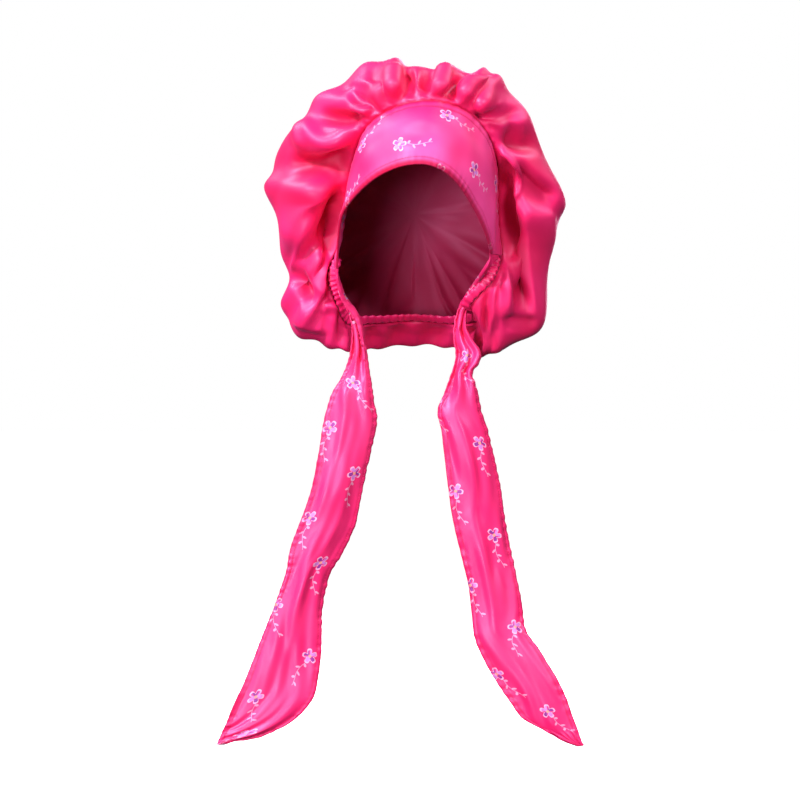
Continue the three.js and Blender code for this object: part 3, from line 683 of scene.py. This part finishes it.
def arc_lengths(points, axis):
    """How far along the grid each point lies, counted from its first row or column."""
    steps = np.linalg.norm(np.diff(points, axis=axis), axis=-1)
    start = np.zeros_like(np.take(steps, [0], axis=axis))
    return np.concatenate([start, np.cumsum(steps, axis=axis)], axis=axis)


def add_object(name, data):
    piece = bpy.data.objects.new(name, data)
    bpy.context.scene.collection.objects.link(piece)
    return piece


def mesh_object(name, points, faces, corner_uvs, material):
    """A mesh in its place, from points in millimetres and a UV map in metres of cloth."""
    mesh = bpy.data.meshes.new(name)
    mesh.from_pydata((np.asarray(points) * MM).tolist(), [], faces)
    layer = mesh.uv_layers.new(name="cloth")
    layer.data.foreach_set("uv", (np.asarray(corner_uvs) * MM).ravel())
    mesh.polygons.foreach_set("use_smooth", [True] * len(mesh.polygons))
    mesh.materials.append(material)
    mesh.update()
    return add_object(name, mesh)


def grid_faces(rows, columns, ring):
    """Faces of a grid of points, and the row and the unwrapped column of each of their corners."""
    last = columns if ring else columns - 1
    row, column = np.meshgrid(np.arange(rows - 1), np.arange(last), indexing="ij")
    row, column = row.ravel(), column.ravel()
    corner_rows = np.stack([row, row, row + 1, row + 1], axis=1)
    corner_columns = np.stack([column, column + 1, column + 1, column], axis=1)
    return corner_rows * columns + corner_columns % columns, corner_rows, corner_columns


def add_painted_shade(piece, painted_shade):
    """Keeps at each point, from 0 to 1, how much painted shade its material gives a fold, seam or hem there.
    """
    painted_shade_mask = piece.data.attributes.new("painted_shade_mask", "FLOAT", "POINT")
    painted_shade_mask.data.foreach_set("value", np.clip(painted_shade, 0, 1).ravel())


def make_crown(materials):
    """The gathered crown with its large and small folds, as a hollow wall of cloth."""
    index, part = crown_columns()
    columns = len(index)
    row_shares = (np.arange(CROWN_ROWS) / CROWN_ROWS) ** ROW_CROWDING
    share = np.repeat(row_shares[:, None], columns, axis=1)
    points, section = crown_surface(index[None, :], part[None, :], share)
    points = soften_folds(points, SOFTENING)
    normals = grid_normals(points, ring=True)
    folds = front_folds(points, share)
    height = seam_gathers(section, share) + folds + back_folds(section, share)
    points = soften_folds(points + normals * height[..., None], FRONT_SOFTENING)
    faces, corner_rows, corner_columns = grid_faces(CROWN_ROWS, columns, ring=True)
    around = np.concatenate([points, points[:, :1]], axis=1)
    widest = arc_lengths(around, axis=1)[WIDEST_ROW]
    depth = arc_lengths(points, axis=0).mean(axis=1)
    corner_uvs = np.stack([widest[corner_columns], depth[corner_rows]], axis=-1).reshape(-1, 2)
    pole = CROWN_ROWS * columns
    last_ring = (CROWN_ROWS - 1) * columns
    fan = [(last_ring + i, last_ring + (i + 1) % columns, pole) for i in range(columns)]
    pole_depth = 2 * depth[-1] - depth[-2]
    fan_uvs = [
        ((widest[i], depth[-1]), (widest[i + 1], depth[-1]), (widest[i], pole_depth))
        for i in range(columns)
    ]
    piece = mesh_object(
        "crown_cloth",
        np.concatenate([points.reshape(-1, 3), [CROWN_POLE]]),
        faces.tolist() + fan,
        np.concatenate([corner_uvs, np.reshape(fan_uvs, (-1, 2))]),
        materials[0],
    )
    piece.data.materials.append(materials[1])
    # Painted shade in the crown's fold valleys, and beside its seam.
    seam_painted_shade = SEAM_PAINTED_SHADE * fall(0, SEAM_PAINTED_SHADE_TO, share)
    add_painted_shade(piece, np.append(np.maximum(-folds / FULL_PAINTED_SHADE_DEPTH, seam_painted_shade), 0))
    wall = piece.modifiers.new("wall", "SOLIDIFY")
    wall.thickness = CROWN_WALL * MM
    wall.offset = -1
    wall.use_rim = True
    wall.material_offset = 1
    wall.material_offset_rim = 0
    return piece


def tube_object(name, points, length, widths, material):
    """A closed tube from rows of points round it, with flat ends. widths has a column more than points."""
    rows, around = points.shape[:2]
    faces, corner_rows, corner_columns = grid_faces(rows, around, ring=True)
    all_faces = faces.tolist()
    corner_uvs = np.stack([length[corner_rows], widths[corner_rows, corner_columns]], axis=-1)
    all_uvs = [corner_uvs.reshape(-1, 2)]
    for row, columns in ((0, np.arange(around)[::-1]), (rows - 1, np.arange(around))):
        all_faces.append((row * around + columns).tolist())
        all_uvs.append(np.stack([np.full(around, length[row]), widths[row, columns]], axis=-1))
    return mesh_object(name, points.reshape(-1, 3), all_faces, np.concatenate(all_uvs), material)


def strip_object(name, outer, painted_shade, wall, material):
    """A hemmed strip of cloth from the grid of its outer face, with rounded long edges and an inner face."""
    columns = outer.shape[1]
    normals = grid_normals(outer, ring=False)
    inner = outer - normals * wall
    width = arc_lengths(outer, axis=1)
    length = arc_lengths(outer, axis=0).mean(axis=1)
    ring_points, ring_widths, ring_painted_shades = [outer], [width], [painted_shade]
    turn = np.linspace(0, math.pi, HEM_ARC + 2)[1:-1]
    for edge, beside in ((columns - 1, columns - 2), (0, 1)):
        out = unit(outer[:, edge] - outer[:, beside])
        middle = 0.5 * (outer[:, edge] + inner[:, edge])
        angles = turn if edge else turn[::-1]
        arc = [middle + 0.5 * wall * (np.cos(a) * normals[:, edge] + np.sin(a) * out) for a in angles]
        ring_points.append(np.stack(arc, axis=1))
        ring_widths.append(np.repeat(width[:, edge][:, None], HEM_ARC, axis=1))
        ring_painted_shades.append(np.repeat(painted_shade[:, edge][:, None], HEM_ARC, axis=1))
        if edge:
            ring_points.append(inner[:, ::-1])
            ring_widths.append(width[:, ::-1])
            ring_painted_shades.append(painted_shade[:, ::-1])
    widths = np.concatenate([*ring_widths, ring_widths[0][:, :1]], axis=1)
    piece = tube_object(name, np.concatenate(ring_points, axis=1), length, widths, material)
    # The strip's painted shade, kept for its material.
    add_painted_shade(piece, np.concatenate(ring_painted_shades, axis=1))
    return piece


def lifted(edges_at, share, across, lift):
    """Points between two edges, lifted outwards. share has the rows, across the columns."""
    start, end = edges_at(share)
    before = edges_at(np.maximum(share - NEARBY, 0))
    after = edges_at(np.minimum(share + NEARBY, 1))
    along = 0.5 * (after[0] + after[1] - before[0] - before[1])
    outward = unit(np.cross(end - start, along))
    points = mix(start[:, None, :], end[:, None, :], across[None, :, None])
    return points + outward[:, None, :] * lift[..., None]


def strip_shares(steps):
    """The shares along and across a strip of the rows and columns of its grid."""
    return [np.linspace(0, 1, step + 1) for step in steps]


def strip_lengths(points):
    """How far along and across a strip each point of its grid lies."""
    return arc_lengths(points, axis=0).mean(axis=1)[:, None], arc_lengths(points, axis=1)


def bow_height(across):
    return 1 - (2 * across - 1) ** 2


def thread_groove(distance, hem):
    """How much of the stitched groove's depth there is at a distance from the edge."""
    return np.exp(-(((distance - hem + STITCH_INSET) / GROOVE_WIDTH) ** 2))


def hem_height(distance, hem):
    """How much a hem of this width stands up at a distance from its edge, with the thread's groove in it."""
    rise = HEM_RISE * fall(hem + HEM_FALL[0], hem + HEM_FALL[1], distance)
    groove = GROOVE_DEPTH * thread_groove(distance, hem)
    return rise - groove


def hem_painted_shade(distance, hem, edge_painted_shade):
    """Painted shade of a strip: deepest at its turned edge, and in the groove that the thread pulls in."""
    depth, reach = edge_painted_shade
    edge = fall(0, reach, distance)
    groove = thread_groove(distance, hem)
    return depth * edge + GROOVE_PAINTED_SHADE * groove


def band_edges(share):
    row = read_table(BAND_SECTIONS, share * (len(BAND_SECTIONS) - 1))
    face = row[..., 1:4]
    seam = seam_point(row[..., 0])
    width = np.linalg.norm(seam - face, axis=-1, keepdims=True)
    return mix(seam, face, SEAM_GAP / width), face


def make_band(material):
    """The wide brow band, with a top-stitched channel along both edges and light puckers at its seam."""
    share, across = strip_shares(BAND_STEPS)
    bow = read_table(BAND_SECTIONS, share * (len(BAND_SECTIONS) - 1))[..., 4]
    lift = bow[:, None] * bow_height(across) - SEAM_GAP * (1 - across)
    points = lifted(band_edges, share, across, lift)
    length, width = strip_lengths(points)
    from_face = width[:, -1:] - width
    puckers = unevenness(length, width, BAND_PUCKERS) * fall(0, BAND_PUCKERS_TO, width)
    face_puckers = unevenness(length, width, FACE_PUCKERS) * fall(0, FACE_PUCKERS_TO, from_face)
    slack = unevenness(length, width, BAND_SLACK) * bow_height(across)
    hems = hem_height(width, BAND_HEM) + hem_height(from_face, BAND_HEM)
    points = points + grid_normals(points, ring=False) * (puckers + face_puckers + slack + hems)[..., None]
    # Painted shade at the band's seam edge, its face edge and its stitched grooves.
    painted_shade = hem_painted_shade(width, BAND_HEM, SEAM_EDGE_PAINTED_SHADE) + hem_painted_shade(from_face, BAND_HEM, FACE_EDGE_PAINTED_SHADE)
    return strip_object("front_band_cloth", points, painted_shade, BAND_WALL, material), points


def past_band_end(share, reach):
    """A section of a tie that runs straight on from the band's end, beside the casing."""
    edges = band_edges(np.array(share))
    before = band_edges(np.array(NEARBY if share == 0 else share - NEARBY))
    seam, face = (edge + reach * unit(edge - old) for edge, old in zip(edges, before))
    return mix(seam, face, CASING_SHARE_OF_END / np.linalg.norm(seam - face)), face


def make_tie(name, rows, seed, material):
    """A long hemmed tie: gathered where it is narrow, and soft and open towards its slanting tip."""
    share, across = strip_shares(TIE_STEPS)

    def section_at(place):
        return read_table(rows, place * (len(rows) - 1))

    def edges_at(place):
        section = section_at(place)
        return section[..., 3:6], section[..., 0:3]

    row = section_at(share)
    bow, pleat = row[:, 6:7], row[:, 7:8]
    lift = bow * bow_height(across) + pleat * np.sin(2 * np.pi * TIE_PLEATS * across)
    points = lifted(edges_at, share, across, lift)
    length, width = strip_lengths(points)
    total = width[:, -1:]
    from_edge = np.minimum(width, total - width)
    body = smoothstep(*TIE_OPENS, total)
    folds = unevenness(length, width, TIE_FOLDS, seed) + unevenness(length, width, TIE_RIPPLES, seed)
    waves = folds * body
    gathers = unevenness(length, across, TIE_GATHERS, seed) * (1 - body)
    puckers = unevenness(length, width, TIE_PUCKERS, seed) * fall(0, TIE_PUCKERS_TO, from_edge) * body
    hems = hem_height(from_edge, TIE_HEM) * body
    start = smoothstep(0, TIE_STARTS, length)
    height = (waves * bow_height(across) ** TIE_FOLDS_ROUND + gathers + puckers + hems) * start
    points = points + grid_normals(points, ring=False) * height[..., None]
    # Painted shade at the tie's turned edges and in its stitched grooves.
    painted_shade = hem_painted_shade(from_edge, TIE_HEM, TIE_EDGE_PAINTED_SHADE) * body
    return strip_object(name, points, painted_shade, TIE_WALL, material), points


def flat_section(left, right):
    return np.concatenate([left, right, [0, 0]])


def tie_rows(end, sections):
    """A tie's sections, led on from the band's end, which is 0 on the left and 1 on the right."""
    turn = -1 if end else 1
    start = [flat_section(*past_band_end(end, reach)[::turn]) for reach in (TIE_GAP, TIE_TURN)]
    return np.concatenate([start, sections])


def make_casing(material):
    """The elastic casing: a soft ruffled tube on the seam, from ear to ear round the nape."""
    step = np.linspace(0, 1, CASING_STEPS + 1)
    section = mix(CASING_FROM, CASING_TO, step)
    seam = seam_point(section)
    tangent = unit(seam_point(section + NEARBY) - seam_point(section - NEARBY))
    to_crown = crown_base(section, np.full_like(section, CROWN_START)) - seam
    to_crown -= tangent * np.sum(to_crown * tangent, axis=1, keepdims=True)
    to_crown = unit(to_crown)
    thick = np.cross(tangent, to_crown)
    length = arc_lengths(seam, axis=0)
    wave = np.sin(2 * math.pi * CASING_RUFFLES * step + unevenness(length, 0 * length, CASING_UNEVENNESS))
    middle = seam - to_crown * (CASING_WIDTH / 2 + CASING_RUFFLE + SEAM_GAP)
    angle = np.linspace(0, 2 * math.pi, CASING_SIDES, endpoint=False)
    squeeze = 1 - CASING_SQUEEZE * np.abs(np.sin(angle)) ** CASING_SQUEEZE_POWER
    mean, change = CASING_RUFFLE_ROUND
    ruffle = CASING_RUFFLE * wave[:, None] * (mean + change * np.cos(2 * angle + CASING_RUFFLE_PHASE))
    wide = np.cos(angle) * (CASING_WIDTH / 2 + ruffle)
    high = np.sin(angle) * squeeze * (CASING_THICKNESS / 2 + ruffle)
    points = middle[:, None] + to_crown[:, None] * wide[..., None] + thick[:, None] * high[..., None]
    girth = arc_lengths(np.concatenate([points, points[:, :1]], axis=1), axis=1).mean(axis=0)
    widths = np.broadcast_to(girth, (CASING_STEPS + 1, CASING_SIDES + 1))
    return tube_object("nape_casing_cloth", points, length, widths, material), points


class Nodes:
    """Places and joins the nodes of one tree."""

    def __init__(self, tree):
        self.tree = tree

    def add(self, kind, sockets=None, **settings):
        node = self.tree.nodes.new(kind)
        for name, value in settings.items():
            setattr(node, name, value)
        return self.feed(node, sockets or {})

    def feed(self, node, sockets):
        """Gives a node's sockets their values, or joins them to other nodes."""
        for socket, value in sockets.items():
            if isinstance(value, bpy.types.NodeSocket):
                self.tree.links.new(value, node.inputs[socket])
            else:
                node.inputs[socket].default_value = value
        return node

    def math(self, operation, *values):
        return self.add("ShaderNodeMath", dict(enumerate(values)), operation=operation).outputs[0]

    def times(self, first, second):
        return self.math("MULTIPLY", first, second)

    def over(self, first, second):
        return self.math("DIVIDE", first, second)

    def plus(self, first, second):
        return self.math("ADD", first, second)

    def minus(self, first, second):
        return self.math("SUBTRACT", first, second)

    def square(self, value):
        return self.math("POWER", value, 2.0)

    def blend(self, factor, first, second):
        sockets = {"Factor": factor, MIX_FIRST: first, MIX_SECOND: second}
        return self.add("ShaderNodeMix", sockets, data_type="RGBA").outputs[MIX_RESULT]

    def ramp(self, value, low, high, to_low=0.0, to_high=1.0):
        sockets = {"Value": value, "From Min": low, "From Max": high, "To Min": to_low, "To Max": to_high}
        return self.add("ShaderNodeMapRange", sockets, interpolation_type="SMOOTHSTEP").outputs[0]

    def noise(self, place, scale, detail, dimensions="3D"):
        sockets = {"Vector": place, "Scale": scale, "Detail": detail}
        return self.add("ShaderNodeTexNoise", sockets, noise_dimensions=dimensions).outputs["Fac"]


def node_group(name, kind, inputs, output_kind, outputs):
    """An empty node group with its sockets, and its input and output nodes."""
    tree = bpy.data.node_groups.new(name, kind)
    for label, socket_kind, value in inputs:
        socket = tree.interface.new_socket(label, in_out="INPUT", socket_type="NodeSocket" + socket_kind)
        if value is not None:
            socket.default_value = value
    for label in outputs:
        tree.interface.new_socket(label, in_out="OUTPUT", socket_type="NodeSocket" + output_kind)
    nodes = Nodes(tree)
    return tree, nodes, nodes.add("NodeGroupInput"), nodes.add("NodeGroupOutput")


def make_weave_group():
    """Satin weave along the cloth's own length and width: floats, slubs and a slightly uneven sheen."""
    inputs = (
        ("Cloth", "Vector", None),
        ("Float", "Float", FLOAT_WIDTH),
        ("Slub", "Float", SLUB_HEIGHT),
        ("Place", "Vector", None),
    )
    outputs = ("Height", "Sheen", "Shade")
    tree, nodes, given, result = node_group("satin weave", "ShaderNodeTree", inputs, "Float", outputs)
    cloth = given.outputs["Cloth"]
    parts = nodes.add("ShaderNodeSeparateXYZ", {0: cloth})
    threads = nodes.over(parts.outputs["Y"], given.outputs["Float"])
    wave = nodes.math("SINE", nodes.times(threads, 2 * math.pi))
    stretched = nodes.add("ShaderNodeVectorMath", {0: cloth, 1: SLUB_STRETCH}, operation="MULTIPLY")
    slubs = nodes.noise(stretched.outputs[0], *SLUB_NOISE, "2D")
    slub_height = nodes.times(slubs, given.outputs["Slub"])
    nodes.feed(result, {
        "Height": nodes.math("MULTIPLY_ADD", wave, FLOAT_HEIGHT, slub_height),
        "Sheen": nodes.noise(cloth, *SHEEN_NOISE, "2D"),
        "Shade": nodes.noise(given.outputs["Place"], *SHADE_NOISE),
    })
    return tree


def make_print_group():
    """Small scattered flowers, each with a row of leaves, on the cloth's own length and width."""
    inputs = (("Cloth", "Vector", None), ("Size", "Float", MOTIF_SIZE))
    group = node_group("scattered flowers", "ShaderNodeTree", inputs, "Float", MOTIF_INKS)
    tree, nodes, given, result = group
    math_node, times, over = nodes.math, nodes.times, nodes.over
    plus, minus, square = nodes.plus, nodes.minus, nodes.square
    spacing_along, spacing_across = MOTIF_SPACING
    parts = nodes.add("ShaderNodeSeparateXYZ", {0: given.outputs["Cloth"]})
    row_place = over(parts.outputs["Y"], spacing_across)
    row = math_node("FLOOR", row_place)
    shift = math_node("FRACT", times(row, 0.5))
    column_place = plus(over(parts.outputs["X"], spacing_along), shift)
    column = math_node("FLOOR", column_place)
    cell = nodes.add("ShaderNodeCombineXYZ", {0: row, 1: column})
    chance = nodes.add("ShaderNodeTexWhiteNoise", {"Vector": cell.outputs[0]}, noise_dimensions="2D")
    spread = nodes.add("ShaderNodeSeparateColor", {0: chance.outputs["Color"]})
    local_x = times(minus(math_node("FRACT", column_place), 0.5), spacing_along)
    local_y = times(minus(math_node("FRACT", row_place), 0.5), spacing_across)
    turn = nodes.ramp(spread.outputs[0], 0.0, 1.0, -MOTIF_TURN, MOTIF_TURN)
    cosine, sine = math_node("COSINE", turn), math_node("SINE", turn)
    along = plus(times(local_x, cosine), times(local_y, sine))
    across = minus(times(local_y, cosine), times(local_x, sine))

    size = given.outputs["Size"]
    flower_x = plus(along, times(size, FLOWER_SHIFT))
    radius = math_node("SQRT", plus(square(flower_x), square(across)))
    angle = math_node("ARCTAN2", across, flower_x)
    petals = math_node("ABSOLUTE", math_node("COSINE", times(angle, PETALS / 2)))
    ratio = over(radius, times(size, nodes.ramp(petals, 0.0, 1.0, PETAL_NOTCH, 1.0)))
    inside = nodes.ramp(ratio, *PETAL_EDGE, 1.0, 0.0)
    outline = times(inside, nodes.ramp(ratio, *PETAL_LINE))
    heart = nodes.ramp(over(radius, size), *HEART_EDGE, 1.0, 0.0)

    twig = over(minus(flower_x, size), times(size, TWIG_LENGTH))
    on_twig = times(math_node("GREATER_THAN", twig, 0.0), math_node("LESS_THAN", twig, 1.0))
    curl = times(math_node("SINE", times(twig, TWIG_TURN)), times(size, TWIG_CURL))
    beside = minus(across, curl)
    stem = nodes.ramp(math_node("ABSOLUTE", beside), *STEM_EDGE, 1.0, 0.0)
    leaf_place = times(twig, LEAVES)
    leaf = math_node("FLOOR", leaf_place)
    leaf_x = minus(math_node("FRACT", leaf_place), 0.5)
    leaf_side = minus(math_node("MODULO", plus(leaf, EVEN_SHIFT), 2.0), 0.5)
    leaf_y = minus(over(beside, times(size, LEAF_REACH)), times(leaf_side, LEAF_OFFSET))
    slanted = minus(leaf_x, times(times(leaf_y, leaf_side), LEAF_SLANT))
    round_leaf = plus(square(times(slanted, LEAF_SHAPE[0])), square(times(leaf_y, LEAF_SHAPE[1])))
    leaves = nodes.ramp(round_leaf, *LEAF_EDGE, 1.0, 0.0)
    twig_mask = times(math_node("MAXIMUM", leaves, stem), on_twig)

    petal_fill = minus(inside, outline)
    turned = plus(times(angle, COLOUR_TURNS[0]), times(spread.outputs[1], COLOUR_TURNS[1]))
    wedge = math_node("SINE", turned)
    nodes.feed(result, {
        "White": math_node("MAXIMUM", outline, times(twig_mask, TWIG_INK)),
        "Lilac": times(petal_fill, nodes.ramp(wedge, *LILAC_FROM)),
        "Indigo": times(petal_fill, nodes.ramp(wedge, *INDIGO_FROM)),
        "Orange": heart,
    })
    return tree


def satin(groups, name, colour, deep_colour, roughness, printed, paints_shade):
    """A satin finish: uneven pink, highlights along the weave, and the print and painted shade if asked for.
    """
    weave_group, print_group = groups
    material = bpy.data.materials.new(name)
    material.use_nodes = True
    nodes = Nodes(material.node_tree)
    shader = material.node_tree.nodes["Principled BSDF"]
    nodes.feed(shader, SATIN_FINISH)
    cloth = nodes.add("ShaderNodeUVMap", uv_map="cloth").outputs[0]
    place = nodes.add("ShaderNodeTexCoord").outputs["Object"]
    weave = nodes.add("ShaderNodeGroup", {"Cloth": cloth, "Place": place}, node_tree=weave_group)
    surface = nodes.blend(nodes.ramp(weave.outputs["Shade"], *SHADE_EDGE), deep_colour, colour)
    if printed:
        flowers = nodes.add("ShaderNodeGroup", {"Cloth": cloth}, node_tree=print_group)
        for ink, ink_colour in MOTIF_INKS.items():
            surface = nodes.blend(nodes.times(flowers.outputs[ink], INK), surface, ink_colour)
    # Painted shade: the colour is blended towards the dark pink, and the reflection turned down, where the
    # mask is.
    if paints_shade:
        depth = nodes.add("ShaderNodeAttribute", attribute_name="painted_shade_mask")
        painted_shade = nodes.times(depth.outputs["Fac"], PAINTED_SHADE_SHARE)
        surface = nodes.blend(painted_shade, surface, PAINTED_SHADE_PINK)
        nodes.feed(shader, {"Specular IOR Level": nodes.minus(1.0, painted_shade)})
    smooth, rough = (roughness + change for change in ROUGHNESS_SPREAD)
    relief = {"Height": weave.outputs["Height"], "Strength": WEAVE_BUMP, "Distance": WEAVE_DISTANCE}
    nodes.feed(shader, {
        "Base Color": surface,
        "Roughness": nodes.ramp(weave.outputs["Sheen"], *SHEEN_EDGE, smooth, rough),
        "Normal": nodes.add("ShaderNodeBump", relief).outputs[0],
    })
    return material


def make_stitch_tree():
    """Stitches along a line: a small rounded thread at every step, lying along the line."""
    inputs = (
        ("Geometry", "Geometry", None),
        ("Pitch", "Float", STITCH_PITCH),
        ("Length", "Float", STITCH_LENGTH),
        ("Thread", "Float", STITCH_THREAD),
        ("Finish", "Material", None),
    )
    outputs = ("Geometry",)
    tree, nodes, given, result = node_group("stitches", "GeometryNodeTree", inputs, "Geometry", outputs)
    chosen = given.outputs
    curve = nodes.add("GeometryNodeMeshToCurve", {"Mesh": chosen["Geometry"]})
    steps = {"Curve": curve.outputs[0], "Length": chosen["Pitch"]}
    spaced = nodes.add("GeometryNodeResampleCurve", steps, mode="LENGTH")
    heading = nodes.add("GeometryNodeInputTangent").outputs[0]
    turned = nodes.add("FunctionNodeAlignRotationToVector", {"Vector": heading}, axis="X")
    segments, rings = STITCH_FACES
    stitch = nodes.add("GeometryNodeMeshUVSphere", {"Segments": segments, "Rings": rings, "Radius": 0.5})
    size = nodes.add("ShaderNodeCombineXYZ", {0: chosen["Length"], 1: chosen["Thread"], 2: chosen["Thread"]})
    sockets = {
        "Points": spaced.outputs[0],
        "Instance": stitch.outputs["Mesh"],
        "Rotation": turned.outputs[0],
        "Scale": size.outputs[0],
    }
    placed = nodes.add("GeometryNodeInstanceOnPoints", sockets)
    real = nodes.add("GeometryNodeRealizeInstances", {0: placed.outputs[0]})
    sockets = {"Geometry": real.outputs[0], "Material": chosen["Finish"]}
    finish = nodes.add("GeometryNodeSetMaterial", sockets)
    nodes.feed(result, {"Geometry": finish.outputs[0]})
    return tree


def make_stitching(name, lines, tree, finish):
    """One mesh of stitches along lines of points in millimetres."""
    points = np.concatenate(lines)
    edges = []
    start = 0
    for line in lines:
        edges += [(start + i, start + i + 1) for i in range(len(line) - 1)]
        start += len(line)
    mesh = bpy.data.meshes.new(name)
    mesh.from_pydata((points * MM).tolist(), edges, [])
    guide = add_object(name + "_guide", mesh)
    sewing = guide.modifiers.new("stitches", "NODES")
    sewing.node_group = tree
    sockets = {item.name: item.identifier for item in tree.interface.items_tree if item.in_out == "INPUT"}
    sewing[sockets["Finish"]] = finish
    bpy.context.view_layer.update()
    graph = bpy.context.evaluated_depsgraph_get()
    sewn = bpy.data.meshes.new_from_object(guide.evaluated_get(graph), depsgraph=graph)
    sewn.name = name
    sewn.polygons.foreach_set("use_smooth", [True] * len(sewn.polygons))
    bpy.data.objects.remove(guide)
    return add_object(name, sewn)


def line_at(points, distance, from_last):
    """The line on a strip's outer face that runs this far from its first or last long edge."""
    order = -1 if from_last else 1
    grid = points[:, ::order]
    width = arc_lengths(grid, axis=1)
    raised = grid + STITCH_LIFT * grid_normals(points, ring=False)[:, ::order]
    return np.array([
        [np.interp(distance, width[row], raised[row, :, axis]) for axis in range(3)]
        for row in range(len(grid))
    ])


def edge_lines(points, hem):
    """The two lines of stitches along a strip's hems."""
    return [line_at(points, hem - STITCH_INSET, from_last) for from_last in (False, True)]


def make_studio():
    """The camera at the photograph's angle, a pale floor and background, and soft lights."""
    scene = bpy.context.scene
    camera = add_object("camera", bpy.data.cameras.new("camera"))
    camera.location = (VIEW_CENTRE[0] * MM, -CAMERA_DISTANCE, VIEW_CENTRE[1] * MM)
    camera.rotation_euler = (math.pi / 2, 0, 0)
    camera.data.sensor_width = SENSOR_WIDTH
    camera.data.lens = SENSOR_WIDTH * CAMERA_DISTANCE / VIEW_WIDTH
    camera.data.clip_end = CAMERA_SEES_TO
    scene.camera = camera

    paper = bpy.data.materials.new("pale paper")
    paper.use_nodes = True
    Nodes(paper.node_tree).feed(paper.node_tree.nodes["Principled BSDF"], PAPER_FINISH)
    signs = ((-1, -1), (1, -1), (1, 1), (-1, 1))
    corners = [(x * FLOOR_REACH, y * FLOOR_REACH, FLOOR_LEVEL * MM) for x, y in signs]
    mesh = bpy.data.meshes.new("floor")
    mesh.from_pydata(corners, [], [(0, 1, 2, 3)])
    mesh.materials.append(paper)
    floor = add_object("floor", mesh)
    floor.visible_diffuse = False
    floor.visible_glossy = False

    for name, place, size, power in LIGHTS:
        light = bpy.data.lights.new(name, "AREA")
        light.shape = "DISK"
        light.size = size
        light.energy = power
        light.color = LIGHT_COLOUR
        lamp = add_object(name, light)
        lamp.location = place
        lamp.rotation_euler = (Vector(AIM) - Vector(place)).to_track_quat("-Z", "Y").to_euler()
    world = bpy.data.worlds.new("studio")
    world.use_nodes = True
    nodes = Nodes(world.node_tree)
    seen = nodes.add("ShaderNodeLightPath").outputs["Is Camera Ray"]
    glow = nodes.math("MAXIMUM", seen, WORLD_STRENGTH)
    nodes.feed(world.node_tree.nodes["Background"], {"Color": PAPER_WHITE, "Strength": glow})
    scene.world = world
    scene.view_settings.view_transform = "Standard"
    scene.view_settings.look = "None"


def dress_bonnet():
    """Makes every piece of the bonnet, hangs each on the root, and hides the model's parts that the cloth
    pieces replace.
    """
    groups = (make_weave_group(), make_print_group())
    satins = [satin(groups, *row) for row in SATINS]
    crown_satin, band_satin, tie_satin, casing_satin, reverse, thread = satins

    crown = make_crown((crown_satin, reverse))
    band, band_points = make_band(band_satin)
    left_rows = tie_rows(0, LEFT_TIE_SECTIONS)
    right_rows = tie_rows(1, RIGHT_TIE_SECTIONS)
    tie_left, left_points = make_tie("tie_left_cloth", left_rows, LEFT_TIE_SEED, tie_satin)
    tie_right, right_points = make_tie("tie_right_cloth", right_rows, RIGHT_TIE_SEED, tie_satin)
    casing, casing_points = make_casing(casing_satin)

    sewing = make_stitch_tree()
    seams = (
        ("front_band_stitches", edge_lines(band_points, BAND_HEM)),
        ("tie_left_stitches", edge_lines(left_points[TIE_SEWN], TIE_HEM)),
        ("tie_right_stitches", edge_lines(right_points[TIE_SEWN], TIE_HEM)),
        ("nape_casing_stitches", [casing_points[:, CASING_SEAM_SIDE]]),
    )
    stitches = [make_stitching(name, lines, sewing, thread) for name, lines in seams]

    parts = (
        (crown, "crown", "satin"),
        (band, "front_band", "band_satin"),
        (tie_left, "tie_left", "tie_satin"),
        (tie_right, "tie_right", "tie_satin"),
        (casing, "nape_casing", "casing_satin"),
    )
    for piece, node, slot in parts:
        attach(piece, "root")
        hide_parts(node)
    for piece, slot in zip(stitches, ("band_satin", "tie_satin", "tie_satin", "casing_satin")):
        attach(piece, "root")


dress_bonnet()
make_studio()
